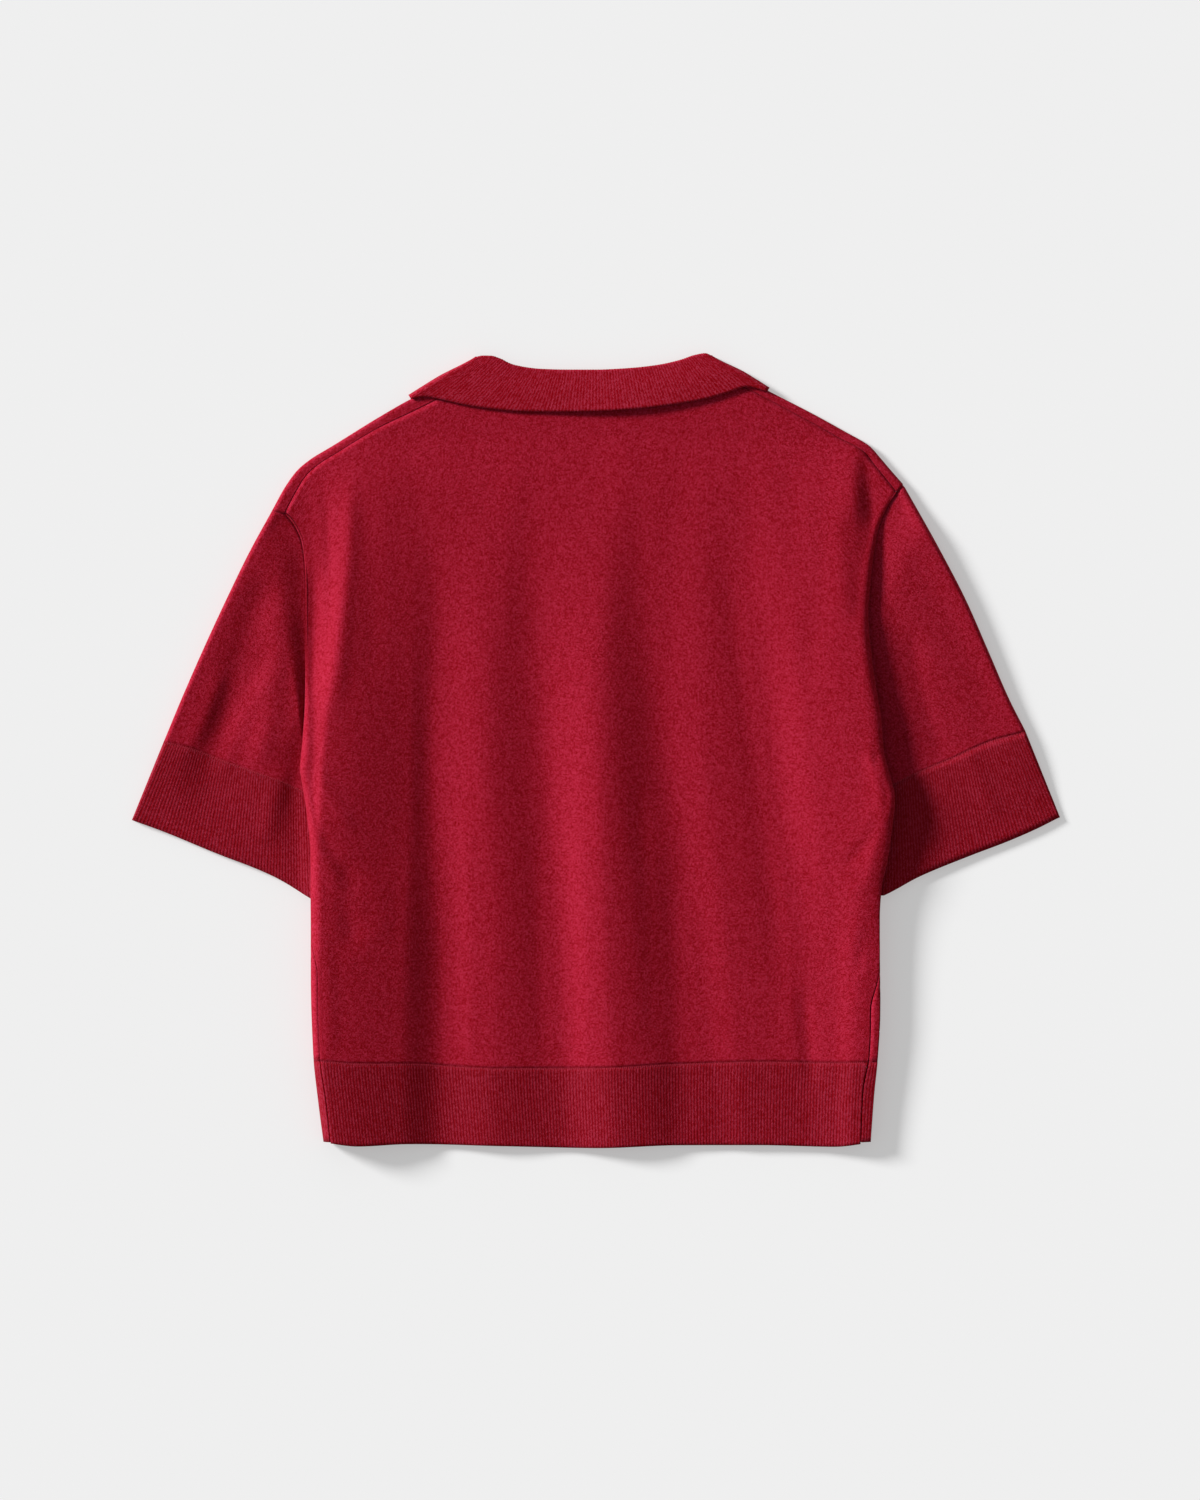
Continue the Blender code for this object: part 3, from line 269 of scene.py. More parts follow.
def along(rows, t, x_name="x", y_name="y"):
    """Point at the fraction t of a table's polyline, by its own length."""
    px = np.array([getattr(r, x_name) for r in rows], float)
    py = np.array([getattr(r, y_name) for r in rows], float)
    s = np.concatenate([[0], np.cumsum(np.hypot(np.diff(px), np.diff(py)))])
    s /= s[-1]
    return through(s, px, t), through(s, py, t)


def ease(t):
    t = np.clip(t, 0.0, 1.0)
    return t * t * (3 - 2 * t)


# ------------------------------------------------------------- upper face height
LEVELS_X = (200.0, 0.0, -160.0, -316.0)
LEVELS_Z = (250.0, 200.0, 100.0, 0.0, -50.0, -170.0, -316.0)


def back_top(x, y):
    """Height of the back's upper face at plan points (x, y)."""
    x = np.asarray(x, float)
    y = np.asarray(y, float)
    shape = x.shape
    x, y = x.ravel(), y.ravel()
    kx, kz = [], []
    for f in FOLDS:
        kx.append(through([-v for v in LEVELS_X], [f.x200, f.x0, f.x160, f.x316], -y))
        kz.append(through([-v for v in LEVELS_Z],
                          [6.0, f.z200, f.z100, f.z0, f.z50, f.z170, f.z316], -y))
    kx, kz = np.array(kx), np.array(kz)
    z = np.empty(len(x))
    h = np.diff(kx, axis=0)
    d = np.diff(kz, axis=0) / h
    m = np.zeros_like(kz)
    same = d[:-1] * d[1:] > 1e-12
    a, b = 2 * h[1:] + h[:-1], h[1:] + 2 * h[:-1]
    d0 = np.where(same, d[:-1], 1.0)
    d1 = np.where(same, d[1:], 1.0)
    m[1:-1] = np.where(same, (a + b) / (a / d0 + b / d1), 0.0)
    m[0], m[-1] = d[0], d[-1]
    xc = np.clip(x, kx[0], kx[-1])
    k = np.clip((kx <= xc).sum(axis=0) - 1, 0, len(FOLDS) - 2)
    i = np.arange(len(x))
    s = (xc - kx[k, i]) / h[k, i]
    z = ((2 * s**3 - 3 * s**2 + 1) * kz[k, i] + (s**3 - 2 * s**2 + s) * h[k, i] * m[k, i]
         + (3 * s**2 - 2 * s**3) * kz[k + 1, i] + (s**3 - s**2) * h[k, i] * m[k + 1, i])
    return z.reshape(shape)


# --------------------------------------------------------- fine creases (mm)
# Soft ridges (height > 0) and troughs (height < 0) added to the back.  Each runs
# from (x0, y0) to (x1, y1); wide is the half width where it has faded to a
# third, side is its bow to the left (-) or right (+) half way along.
Crease = namedtuple("Crease", "x0 y0 x1 y1 wide height side")
BACK_CREASES = [
    # left flank: the double streak beside the armhole
    Crease(-216.0, 204.0, -215.0, 60.0, 4.0, -0.7, 2.0),
    Crease(-225.0, 140.0, -229.0, 44.0, 7.0, -1.8, 2.0),
    Crease(-197.0, 204.0, -208.0, 40.0, 7.0, 1.5, 2.0),
    Crease(-184.0, 200.0, -180.0, 60.0, 10.0, -0.7, 3.0),
    # left underarm
    Crease(-231.0, 2.0, -196.0, -60.0, 7.0, 0.9, -3.0),
    Crease(-233.0, -22.0, -205.0, -92.0, 6.0, -1.0, -4.0),
    Crease(-226.0, -56.0, -190.0, -128.0, 8.0, 0.9, -4.0),
    Crease(-200.0, -92.0, -195.0, -156.0, 9.0, -1.4, 0.0),
    Crease(-176.0, -104.0, -172.0, -150.0, 9.0, 0.5, 2.0),
    Crease(-218.0, -150.0, -214.0, -240.0, 7.0, 0.8, 2.0),
    # right flank: the second strip under the main fold, and the underarm
    Crease(223.0, 52.0, 229.0, -14.0, 2.6, 1.3, 2.0),
    Crease(217.5, 56.0, 223.5, -10.0, 2.2, -1.5, 2.0),
    Crease(219.0, -6.0, 229.0, -62.0, 6.0, 1.2, 4.0),
    Crease(206.0, 186.0, 212.0, 106.0, 9.0, -1.7, 0.0),
    Crease(228.0, -52.0, 200.0, -92.0, 6.0, -0.8, 3.0),
    Crease(229.0, -78.0, 204.0, -116.0, 6.0, 0.4, 3.0),
    Crease(222.0, -104.0, 208.0, -176.0, 6.0, -0.8, 3.0),
    Crease(216.0, 236.0, 223.0, 180.0, 5.0, -0.7, -2.0),
    # shallow lengthwise drag lines over the flat upper back
    Crease(-150.0, 236.0, -120.0, 60.0, 13.0, -0.5, 3.0),
    Crease(-64.0, 236.0, -70.0, 90.0, 12.0, 0.5, -2.0),
    Crease(22.0, 250.0, 6.0, 70.0, 14.0, 0.6, 3.0),
    Crease(70.0, 240.0, 62.0, 60.0, 13.0, -0.5, -3.0),
    Crease(140.0, 236.0, 128.0, 80.0, 14.0, 0.5, 4.0),
    Crease(186.0, 232.0, 168.0, 60.0, 12.0, -0.6, 5.0),
    # between the main folds lower down
    Crease(-104.0, -60.0, -102.0, -250.0, 9.0, 0.7, 2.0),
    Crease(-47.0, -60.0, -42.0, -250.0, 9.0, -0.5, -2.0),
    Crease(-14.0, -70.0, -8.0, -260.0, 8.0, 0.6, 2.0),
    Crease(34.0, -40.0, 44.0, -230.0, 9.0, -0.6, 3.0),
    Crease(104.0, 150.0, 148.0, -170.0, 12.0, -1.0, 0.0),
    Crease(60.0, -100.0, 66.0, -330.0, 14.0, -1.5, 0.0),
    Crease(150.0, -80.0, 156.0, -250.0, 9.0, 0.5, 3.0),
    Crease(166.0, -196.0, 172.0, -262.0, 6.0, -0.9, 0.0),
]


def creases(x, y, rows=BACK_CREASES):
    """Sum of the fine creases at plan points (x, y)."""
    x = np.asarray(x, float)
    y = np.asarray(y, float)
    z = np.zeros(np.broadcast(x, y).shape)
    for c in rows:
        dx, dy = c.x1 - c.x0, c.y1 - c.y0
        n = math.hypot(dx, dy)
        t = ((x - c.x0) * dx + (y - c.y0) * dy) / n**2
        d = ((x - c.x0) * dy - (y - c.y0) * dx) / n
        bow = c.side * 4 * np.clip(t, 0, 1) * (1 - np.clip(t, 0, 1))
        d = d * (-1 if dy < 0 else 1) - bow
        ends = ease(t / 0.3 + 0.5) * ease((1 - t) / 0.3 + 0.5)
        z += c.height * ends * np.exp(-(d / c.wide) ** 2)
    return z


def skin(x, y):
    """Height of the back's upper face with its fine creases."""
    return back_top(x, y) + creases(x, y)


# --------------------------------------------------------------- body sections
def rim_point(t, psi):
    """Points of a side's rim: t = (edge, roll, mid, top, foot_x, foot_z)."""
    edge, roll, mid, top, foot_x, foot_z = t
    psi = np.asarray(psi, float)
    a = np.minimum(psi, 1.0) * math.pi / 2
    b = (np.maximum(psi, 1.0) - 1.0) * math.pi / 2
    x = np.where(psi <= 1, edge - roll * (1 - np.sin(a)), foot_x + (edge - foot_x) * np.cos(b))
    z = np.where(psi <= 1, mid + (top - mid) * np.cos(a), foot_z + (mid - foot_z) * (1 - np.sin(b)))
    return x, z


ARM_PSI = 1.72


def rim_of(sign, y):
    side, hole = (SIDE_LEFT, ARMHOLE_LEFT) if sign < 0 else (SIDE_RIGHT, ARMHOLE_RIGHT)
    if y <= side[-1].y:
        edge, roll, mid, seam, foot = (float(column(side, "y", n, y))
                                       for n in ("edge", "roll", "mid", "seam", "foot"))
        top = float(skin(sign * (edge - roll), y))
        return (edge, roll, mid, top, foot, 0.0), seam
    edge, roll, mid, seam_x, seam_z = (float(column(hole, "y", n, y))
                                       for n in ("edge", "roll", "mid", "seam", "seam_z"))
    top = float(skin(sign * (edge - roll), y))
    a = (ARM_PSI - 1.0) * math.pi / 2
    foot_x = (seam_x - edge * math.cos(a)) / (1 - math.cos(a))
    foot_z = (seam_z - mid * (1 - math.sin(a))) / math.sin(a)
    return (edge, roll, mid, top, foot_x, foot_z), ARM_PSI


TOP_POINTS = ([(r.seam_x, r.seam_y) for r in SHOULDER_LEFT]
              + [(r.x, r.y) for r in BACK_NECK[1:-1]]
              + [(r.seam_x, r.seam_y) for r in reversed(SHOULDER_RIGHT)])


def top_line(x):
    """The back's upper edge: shoulder seams and neckline, as one smooth line."""
    return through([p[0] for p in TOP_POINTS], [p[1] for p in TOP_POINTS], x)


def close_at_ends(n, pull):
    """n + 1 shares from 0 to 1 that lie closer together at both ends."""
    t = np.linspace(0, 1, n + 1)
    return (1 - pull) * t + pull * (0.5 - 0.5 * np.cos(math.pi * t))


def side_levels(n_low, n_high, low_y):
    left = np.concatenate([np.linspace(low_y, ARMPIT_LEFT, n_low + 1),
                           np.linspace(ARMPIT_LEFT, ARMHOLE_LEFT[-1].y, n_high + 1)[1:]])
    right = np.concatenate([np.linspace(low_y, ARMPIT_RIGHT, n_low + 1),
                            np.linspace(ARMPIT_RIGHT, ARMHOLE_RIGHT[-1].y, n_high + 1)[1:]])
    rise = np.concatenate([np.zeros(n_low), np.linspace(0, 1, n_high + 1) ** 1.25])
    return left, right, rise


def hem_step(x, name):
    return column(HEM_LINE, "x", name, x)


def back_section(y_left, y_right, n_mid, n_rim, inset=0.02):
    """One section of the back, seam to seam.  Heights of the middle are NaN."""
    rim_l, psi_l = rim_of(-1, y_left)
    rim_r, psi_r = rim_of(1, y_right)
    lx, lz = rim_point(rim_l, np.linspace(psi_l - inset, 0, n_rim + 1)[:-1])
    rx, rz = rim_point(rim_r, np.linspace(0, psi_r - inset, n_rim + 1)[1:])
    x0, x1 = -(rim_l[0] - rim_l[1]), rim_r[0] - rim_r[1]
    t = np.linspace(0, 1, n_mid + 1)
    x = np.concatenate([-lx, x0 + (x1 - x0) * t, rx])
    y = np.concatenate([np.full(n_rim, y_left), y_left + (y_right - y_left) * t,
                        np.full(n_rim, y_right)])
    z = np.concatenate([lz, np.full(n_mid + 1, np.nan), rz])
    return x, y, z


def filled(x, y, z):
    return np.where(np.isnan(z), skin(x, y), z)


def back_panel_surface():
    n_mid, n_rim = 214, 9
    left, right, rise = side_levels(78, 78, HEM_RIB_Y)
    top = back_section(left[-1], right[-1], n_mid, n_rim)
    bulge = top_line(top[0]) - top[1]
    rows = []
    for yl, yr, s in zip(left, right, rise):
        x, y, z = back_section(yl, yr, n_mid, n_rim)
        y = y + s * bulge
        y = y + hem_step(x, "seam") * (1 - ease((y - HEM_RIB_Y) / 60.0))
        rows.append(np.stack([x, y, filled(x, y, z)], axis=1))
    rows = np.array(rows)
    rows[0, :, 1] += 0.1
    rows[-1, :, 1] -= 0.15
    return rows


def back_hem_surface(n_rows):
    rows = []
    for t in close_at_ends(n_rows, 0.5):
        level = HEM_Y + (HEM_RIB_Y - HEM_Y) * t
        x, y, z = back_section(level, level, 300, 14)
        y = y + (1 - t) * hem_step(x, "hem") + t * hem_step(x, "seam")
        rows.append(np.stack([x, y, filled(x, y, z)], axis=1))
    return np.array(rows)


def shoulder_curve(rows, q):
    """Edge, seam and roll foot of a shoulder at shares q from its end."""
    k = np.linspace(0, 1, len(rows))
    edge = np.stack([through(k, [r.edge_x for r in rows], q),
                     through(k, [r.edge_y for r in rows], q)], axis=1)
    sx = through(k, [r.seam_x for r in rows], q)
    seam = np.stack([sx, top_line(sx)], axis=1)
    wide = np.linalg.norm(seam - edge, axis=1)[:, None]
    foot = edge + (seam - edge) / wide * SHOULDER_ROLL
    return edge, seam, foot, wide


def front_under(x, y):
    """Height of the front's outer face: on the floor, lifted round the neck by
    the collar's fall."""
    ax = np.abs(x)
    length = math.hypot(106.0, 302.0 - V_DEPTH_Y)
    d = (ax * (302.0 - V_DEPTH_Y) - (y - V_DEPTH_Y) * 106.0) / length
    low = ease((y - 86.0) / 40.0)
    return NECK_LIFT * (1 - ease((d - 64.0) / 30.0)) * low


def front_section(y_left, y_right, shares, n_rim, inset=0.02):
    ends = []
    for sign, y in ((-1, y_left), (1, y_right)):
        rim, psi = rim_of(sign, y)
        side = SIDE_LEFT if sign < 0 else SIDE_RIGHT
        t = np.linspace(0, 1, n_rim + 1)
        if y <= side[-1].y:
            px, pz = rim_point(rim, psi + inset + (2.0 - psi - inset) * t)
        else:
            hole = ARMHOLE_LEFT if sign < 0 else ARMHOLE_RIGHT
            up = 1 - ease((y - side[-1].y) / 14.0)
            seam = float(column(hole, "y", "seam", y)) - 2 * SEAM_GAP
            if y > hole[-1].y - 0.01:
                table = SHOULDER_LEFT if sign < 0 else SHOULDER_RIGHT
                seam = abs(shoulder_curve(table, np.array([0.0]))[2][0, 0])
            lift = up * (float(column(hole, "y", "seam_z", y)) - 0.6)
            px, pz = seam - 11.0 * t, lift * (1 - t) ** 2
        ends.append((px, pz))
    (lx, lz), (rx, rz) = ends
    x0, x1 = -lx[-1], rx[-1]
    x = np.concatenate([-lx[:-1], x0 + (x1 - x0) * shares, rx[:-1][::-1]])
    y = np.concatenate([np.full(n_rim, y_left), y_left + (y_right - y_left) * shares,
                        np.full(n_rim, y_right)])
    z = np.concatenate([lz[:-1], np.zeros(len(shares)), rz[:-1][::-1]])
    return x, y, z


def front_panel_surface():
    """Rows of the front, then its rings round the shoulders, and the shares q
    that say which columns belong to a shoulder."""
    n_rim = 8
    q = np.linspace(0, 1, 44)
    foot_l = shoulder_curve(SHOULDER_LEFT, q)[2]
    foot_r = shoulder_curve(SHOULDER_RIGHT, q)[2]
    x0, x1 = foot_l[0, 0] + 11.0, foot_r[0, 0] - 11.0
    marks = np.concatenate([foot_l[:, 0], np.linspace(foot_l[-1, 0], 0, 22)[1:],
                            np.linspace(0, foot_r[-1, 0], 22)[1:], foot_r[::-1, 0][1:]])
    marks = marks[(marks > x0 + 0.5) & (marks < x1 - 0.5)]
    marks = np.concatenate([[x0], marks, [x1]])
    shares = (marks - x0) / (x1 - x0)
    edge_x = np.concatenate([foot_l[:, 0], [0.0], foot_r[::-1, 0]])
    edge_y = np.concatenate([foot_l[:, 1], [V_DEPTH_Y], foot_r[::-1, 1]])
    left, right, rise = side_levels(40, 44, HEM_RIB_Y)
    top = front_section(left[-1], right[-1], shares, n_rim)
    bulge = np.interp(top[0], edge_x, edge_y) - top[1]
    rows = []
    for j, (yl, yr, s) in enumerate(zip(left, right, rise)):
        x, y, z = front_section(yl, yr, shares, n_rim)
        y = y + s * bulge
        y = y + hem_step(x, "seam") * (1 - ease((y - HEM_RIB_Y) / 60.0))
        z = np.maximum(z, front_under(x, y))
        rows.append(np.stack([x, y, z], axis=1))
    last = rows[-1]
    x = last[:, 0]
    neck_l, neck_r = foot_l[-1, 0], foot_r[-1, 0]
    ql = np.interp(x, foot_l[:, 0], q)
    qr = np.interp(-x, -foot_r[:, 0], q)
    e_l, s_l, _, w_l = shoulder_curve(SHOULDER_LEFT, ql)
    e_r, s_r, _, w_r = shoulder_curve(SHOULDER_RIGHT, qr)
    is_left = (x < 0)[:, None]
    edge, seam = np.where(is_left, e_l, e_r), np.where(is_left, s_l, s_r)
    wide = np.where(is_left, w_l, w_r)
    to_seam = (seam - edge) / wide
    low = last[:, 2]
    for a in np.radians(np.linspace(0, 180, 13))[1:]:
        p = edge + to_seam * SHOULDER_ROLL * (1 - math.sin(a))
        z = low + (skin(p[:, 0], p[:, 1]) - low) * (1 - math.cos(a)) / 2
        rows.append(np.column_stack([p, z]))
    for t in np.linspace(0, 1, 8)[1:]:
        p = edge + to_seam * (SHOULDER_ROLL + (wide - 0.15 - SHOULDER_ROLL) * t)
        rows.append(np.column_stack([p, skin(p[:, 0], p[:, 1])]))
    flat = len(left)
    on_left = x <= neck_l + 0.01
    on_right = x >= neck_r - 0.01

    def keep(j, i):
        return j < flat - 1 or (on_left[i] and on_left[i + 1]) or (on_right[i] and on_right[i + 1])

    return np.array(rows), keep


def front_hem_surface(n_rows):
    rows = []
    shares = np.linspace(0, 1, 301)
    for t in close_at_ends(n_rows, 0.5):
        level = HEM_Y + 2.0 + (HEM_RIB_Y - HEM_Y - 2.0) * t
        x, y, z = front_section(level, level, shares, 14)
        y = y + t * hem_step(x, "seam") + (1 - t) * hem_step(x, "hem") * 0.3
        rows.append(np.stack([x, y, z], axis=1))
    return np.array(rows)


# ------------------------------------------------------------------- sleeves
# x outward from the middle line, as in the sleeve tables.
SLEEVE_CREASES = {
    "left": [
        Crease(262.0, 136.0, 303.0, 14.0, 12.0, -2.2, 3.0),
        Crease(252.0, 112.0, 270.0, -8.0, 12.0, 2.6, -3.0),
        Crease(262.0, 60.0, 300.0, -20.0, 9.0, 1.2, 2.0),
        Crease(300.0, 60.0, 322.0, 4.0, 7.0, 0.9, -2.0),
        Crease(246.0, -14.0, 264.0, -70.0, 9.0, 1.2, 2.0),
    ],
    "right": [
        Crease(246.0, 168.0, 318.0, 26.0, 10.0, -0.7, 4.0),
        Crease(240.0, 130.0, 300.0, 10.0, 9.0, 0.4, 3.0),
        Crease(252.0, 90.0, 278.0, -4.0, 8.0, -1.0, -3.0),
        Crease(226.0, 120.0, 240.0, 20.0, 7.0, 0.8, 0.0),
        Crease(296.0, 0.0, 318.0, -50.0, 9.0, 0.9, 0.0),
        Crease(262.0, -20.0, 276.0, -80.0, 8.0, -0.8, 0.0),
    ],
}


def fold_edge(side, which, part, t):
    """A folded edge of the sleeve at the fraction t of a part: its outermost
    plan point, the direction it faces and its plan radius."""
    edge, seam, hem = SLEEVE_EDGE[side], CUFF_SEAM[side], CUFF_HEM[side]
    shoulder = (SHOULDER_LEFT if side == "left" else SHOULDER_RIGHT)[0]

    def at(t):
        if which == "outer":
            if part == "sleeve":
                x, y = along(edge, t)
                return np.array([float(x), float(y)])
            a, b = edge[-1], hem[0]
        else:
            a, b = (ARMPIT[side], seam[-1]) if part == "sleeve" else (seam[-1], hem[-1])
        return np.array([a.x + (b.x - a.x) * t, a.y + (b.y - a.y) * t])

    d = at(min(1.0, t + 0.04)) - at(max(0.0, t - 0.04))
    d /= np.linalg.norm(d)
    face = np.array([-d[1], d[0]]) if which == "outer" else np.array([d[1], -d[0]])
    if which == "outer" and part == "sleeve":
        body = np.array([abs(shoulder.edge_x) - abs(shoulder.seam_x),
                         shoulder.edge_y - shoulder.seam_y])
        body /= np.linalg.norm(body)
        face = body + (face - body) * float(ease(t / 0.2))
        face /= np.linalg.norm(face)
    r = (OUTER_ROUND if which == "outer" else UNDER_ROUND)[side]
    a, b = (r.start, r.cuff_seam) if part == "sleeve" else (r.cuff_seam, r.hem)
    return at(t), face, a + (b - a) * t


def armhole_points(side, n_high):
    hole = ARMHOLE_LEFT if side == "left" else ARMHOLE_RIGHT
    armpit = ARMPIT_LEFT if side == "left" else ARMPIT_RIGHT
    levels = np.linspace(armpit, hole[-1].y, n_high + 1)[::-1]
    e0, f0, r0 = fold_edge(side, "outer", "sleeve", 0.0)
    e1, f1, r1 = fold_edge(side, "under", "sleeve", 0.0)
    n_lead = 5
    lead_end = np.array([float(column(hole, "y", "seam", levels[0])), levels[0]])
    first = e0 - r0 * f0
    upper, height = [], []
    sign = -1 if side == "left" else 1
    for k in range(n_lead):
        p = first + (lead_end - first) * k / n_lead
        upper.append(p)
        on_shoulder = float(skin(sign * p[0], p[1])) - 0.2
        height.append(on_shoulder + (hole[-1].seam_z - on_shoulder) * (k / n_lead) ** 2)
    for y in levels:
        upper.append(np.array([float(column(hole, "y", "seam", y)), y]))
        height.append(float(column(hole, "y", "seam_z", y)))
    upper.append(e1 - r1 * f1)
    height.append(hole[0].seam_z + 0.2)
    return np.array(upper), np.array(height)


def sleeve_surface(side, part, n_along, n_high, n_rim):
    """Rings of a sleeve (armhole to cuff seam) or of a cuff (seam to hem)."""
    sign = -1 if side == "left" else 1
    upper, arm_z = armhole_points(side, n_high)
    w = np.concatenate([[0], np.cumsum(np.hypot(*np.diff(upper, axis=0).T))])
    w /= w[-1]
    top = SLEEVE_TOP[side]

    def inset_line(rows, t_part, t):
        x, y = along(rows, w)
        line = np.stack([x, y], axis=1)
        for end, which in ((0, "outer"), (-1, "under")):
            e, f, r = fold_edge(side, which, t_part, t)
            shift = (e - r * f) - line[end]
            fade = (1 - ease(w / 0.25)) if end == 0 else (1 - ease((1 - w) / 0.25))
            line = line + fade[:, None] * shift
        return line

    seam_line = inset_line(CUFF_SEAM[side], "sleeve", 1.0)
    hem_line = inset_line(CUFF_HEM[side], "cuff", 1.0)
    rings = []
    up = np.linspace(math.pi / 2, 0, n_rim + 1)[:-1]
    for t in np.linspace(0, 1, n_along + 1):
        e0, f0, r0 = fold_edge(side, "outer", part, t)
        e1, f1, r1 = fold_edge(side, "under", part, t)
        if part == "sleeve":
            line = (1 - t) * upper + t * seam_line
            line = line + np.outer(1 - w, (e0 - r0 * f0) - line[0])
            line = line + np.outer(w, (e1 - r1 * f1) - line[-1])
        else:
            line = (1 - t) * seam_line + t * hem_line
        a, b, c = (column(top, "w", n, w) for n in ("shoulder", "cuff_seam", "hem"))
        if part == "sleeve":
            near = 1 - ease(t / 0.22)
            h = near * arm_z + (1 - near) * (a + (b - a) * t)
        else:
            h = b + (c - b) * ease(t)
        fine = creases(line[:, 0], line[:, 1], SLEEVE_CREASES[side])
        h = np.maximum(h + fine * ease(w / 0.06) * ease((1 - w) / 0.06), 3.4)
        outer = e0 - np.outer(r0 * (1 - np.sin(up)), f0)
        under = e1 - np.outer(r1 * (1 - np.sin(up)), f1)
        ring = [np.column_stack([outer, h[0] / 2 * (1 + np.cos(up))]),
                np.column_stack([line, h]),
                np.column_stack([under, h[-1] / 2 * (1 + np.cos(up))])[::-1],
                np.column_stack([under, h[-1] / 2 * (1 - np.cos(up))])[1:],
                np.column_stack([line, np.zeros(len(line))])[::-1],
                np.column_stack([outer, h[0] / 2 * (1 - np.cos(up))])[:0:-1]]
        rings.append(np.concatenate(ring))
    rings = np.array(rings)
    if part == "sleeve":
        rings[0, :, 0] += 0.2
        end = ease((rings[0, :, 1] - 188.0) / 12.0)     # tucked under the shoulder's end
        rings[0, :, 0] -= 0.9 * end
        rings[0, :, 2] -= 0.7 * end * (rings[0, :, 2] > 3.0)
    rings[:, :, 0] *= sign
    return rings


# -------------------------------------------------------------------- collar
def collar_columns(n_back, n_turn, n_front):
    cols = []
    q = np.linspace(0, 1, len(COLLAR_BACK))
    names = Collar._fields
    rows = [c if c.neck_y else c._replace(neck_y=float(top_line(c.neck_x)) + 0.15)
            for c in COLLAR_BACK]

    def back_at(t):
        p = np.array([float(through(q, [getattr(c, n) for c in rows], t)) for n in names])
        if 0.1 < t < 0.9:
            near = float(ease((t - 0.1) / 0.06) * ease((0.9 - t) / 0.06))
            p[5] += near * (float(top_line(p[4])) + 0.15 - p[5])
        return p

    for side in ("left", "right"):
        start = back_at(0.0 if side == "left" else 1.0)
        end = np.array(COLLAR_FRONT_END[side], float)
        k, o = start[0:2], start[2:4]
        d = (o - k) / np.linalg.norm(o - k)
        out = np.array([d[1], -d[0]]) if side == "left" else np.array([-d[1], d[0]])
        if out[1] < 0:
            out = -out
        front = []
        table = SHOULDER_LEFT if side == "left" else SHOULDER_RIGHT
        foot = shoulder_curve(table, np.array([1.0]))[2][0]
        for t in np.linspace(1, 0, n_front + 1)[:-1]:
            p = start + (end - start) * t
            v_x = (p[5] - V_DEPTH_Y) * foot[0] / (foot[1] - V_DEPTH_Y)
            v_x -= math.copysign(0.5, v_x)
            p[4] += float(ease(t / 0.12)) * (v_x - p[4])
            p[2:4] += np.array([-1 if side == "left" else 1, -0.55]) * 7.0 * math.sin(math.pi * t)
            front.append((p, math.pi, out))
        turn = [(start, a, out) for a in np.linspace(math.pi, 0, n_turn + 1)]
        if side == "left":
            cols += front + turn
        else:
            right = list(reversed(front + turn))
    inner = [(back_at(t), 0.0, np.array([0.0, 1.0])) for t in np.linspace(0, 1, n_back + 1)[1:-1]]
    return cols + inner + right


def collar_surface(n_back, n_turn, n_front, n_stand, n_fold, n_fall):
    """Middle surface of the collar strip: neckline, stand, fold, fall, edge."""
    cols = []
    for p, angle, out in collar_columns(n_back, n_turn, n_front):
        fold, free, neck = p[0:2], p[2:4], p[4:6]
        def up(spread):
            # the turn round the neck side is tight at the fold, full at the free edge
            out_by = math.sin(angle) * spread
            return np.array([out[0] * out_by, out[1] * out_by, math.cos(angle)])

        tip = ((fold - neck) / max(np.linalg.norm(fold - neck), 1e-6)
               + (fold - free) / max(np.linalg.norm(fold - free), 1e-6))
        tip /= np.linalg.norm(tip)
        half, mid_r = (FALL_R - STAND_R) / 2, (FALL_R + STAND_R) / 2
        base = np.array([0, 0, COLLAR_MID_Z])
        root = fold - half * tip
        back = 0.5 * (1 + math.cos(angle))
        col = []
        for t in np.linspace(0, 1, n_stand + 1):
            q = neck + (root - neck) * t
            col.append(np.array([q[0], q[1], 0]) + base + STAND_R * up(1 - 0.85 * t))
        for a in np.linspace(0, math.pi, n_fold + 1)[1:-1]:
            q = root + half * math.sin(a) * tip
            col.append(np.array([q[0], q[1], 0]) + base + (mid_r - half * math.cos(a)) * up(0.15))
        for t in np.linspace(0, 1, n_fall + 1):
            q = root + (free - root) * t
            lift = 0.3 + 2.5 * math.exp(-((free[0] - 28) / 52) ** 2)
            dome = back * (1.0 * math.sin(math.pi * t) + lift * t**1.6)
            col.append(np.array([q[0], q[1], 0]) + base
                       + (FALL_R + dome) * up(0.15 + 0.6 * float(ease(t / 0.6))))
        cols.append(col)
    return np.array(cols)


# ------------------------------------------------------------- meshes from grids
def lengths(line):
    return np.concatenate([[0], np.cumsum(np.linalg.norm(np.diff(line, axis=0), axis=1))])


def spaced(rows, count, axis_row):
    """The grid with `count` columns spaced evenly along its row axis_row."""
    s = lengths(rows[axis_row])
    at = np.linspace(0, s[-1], count)
    i = np.clip(np.searchsorted(s, at, side="right") - 1, 0, len(s) - 2)
    f = ((at - s[i]) / (s[i + 1] - s[i]))[None, :, None]
    return rows[:, i] * (1 - f) + rows[:, i + 1] * f, at


def normals(rows, closed):
    if closed:
        di = np.roll(rows, -1, axis=1) - np.roll(rows, 1, axis=1)
    else:
        di = np.gradient(rows, axis=1)
    dj = np.gradient(rows, axis=0)
    n = np.cross(di, dj)
    return n / np.maximum(np.linalg.norm(n, axis=2, keepdims=True), 1e-9)


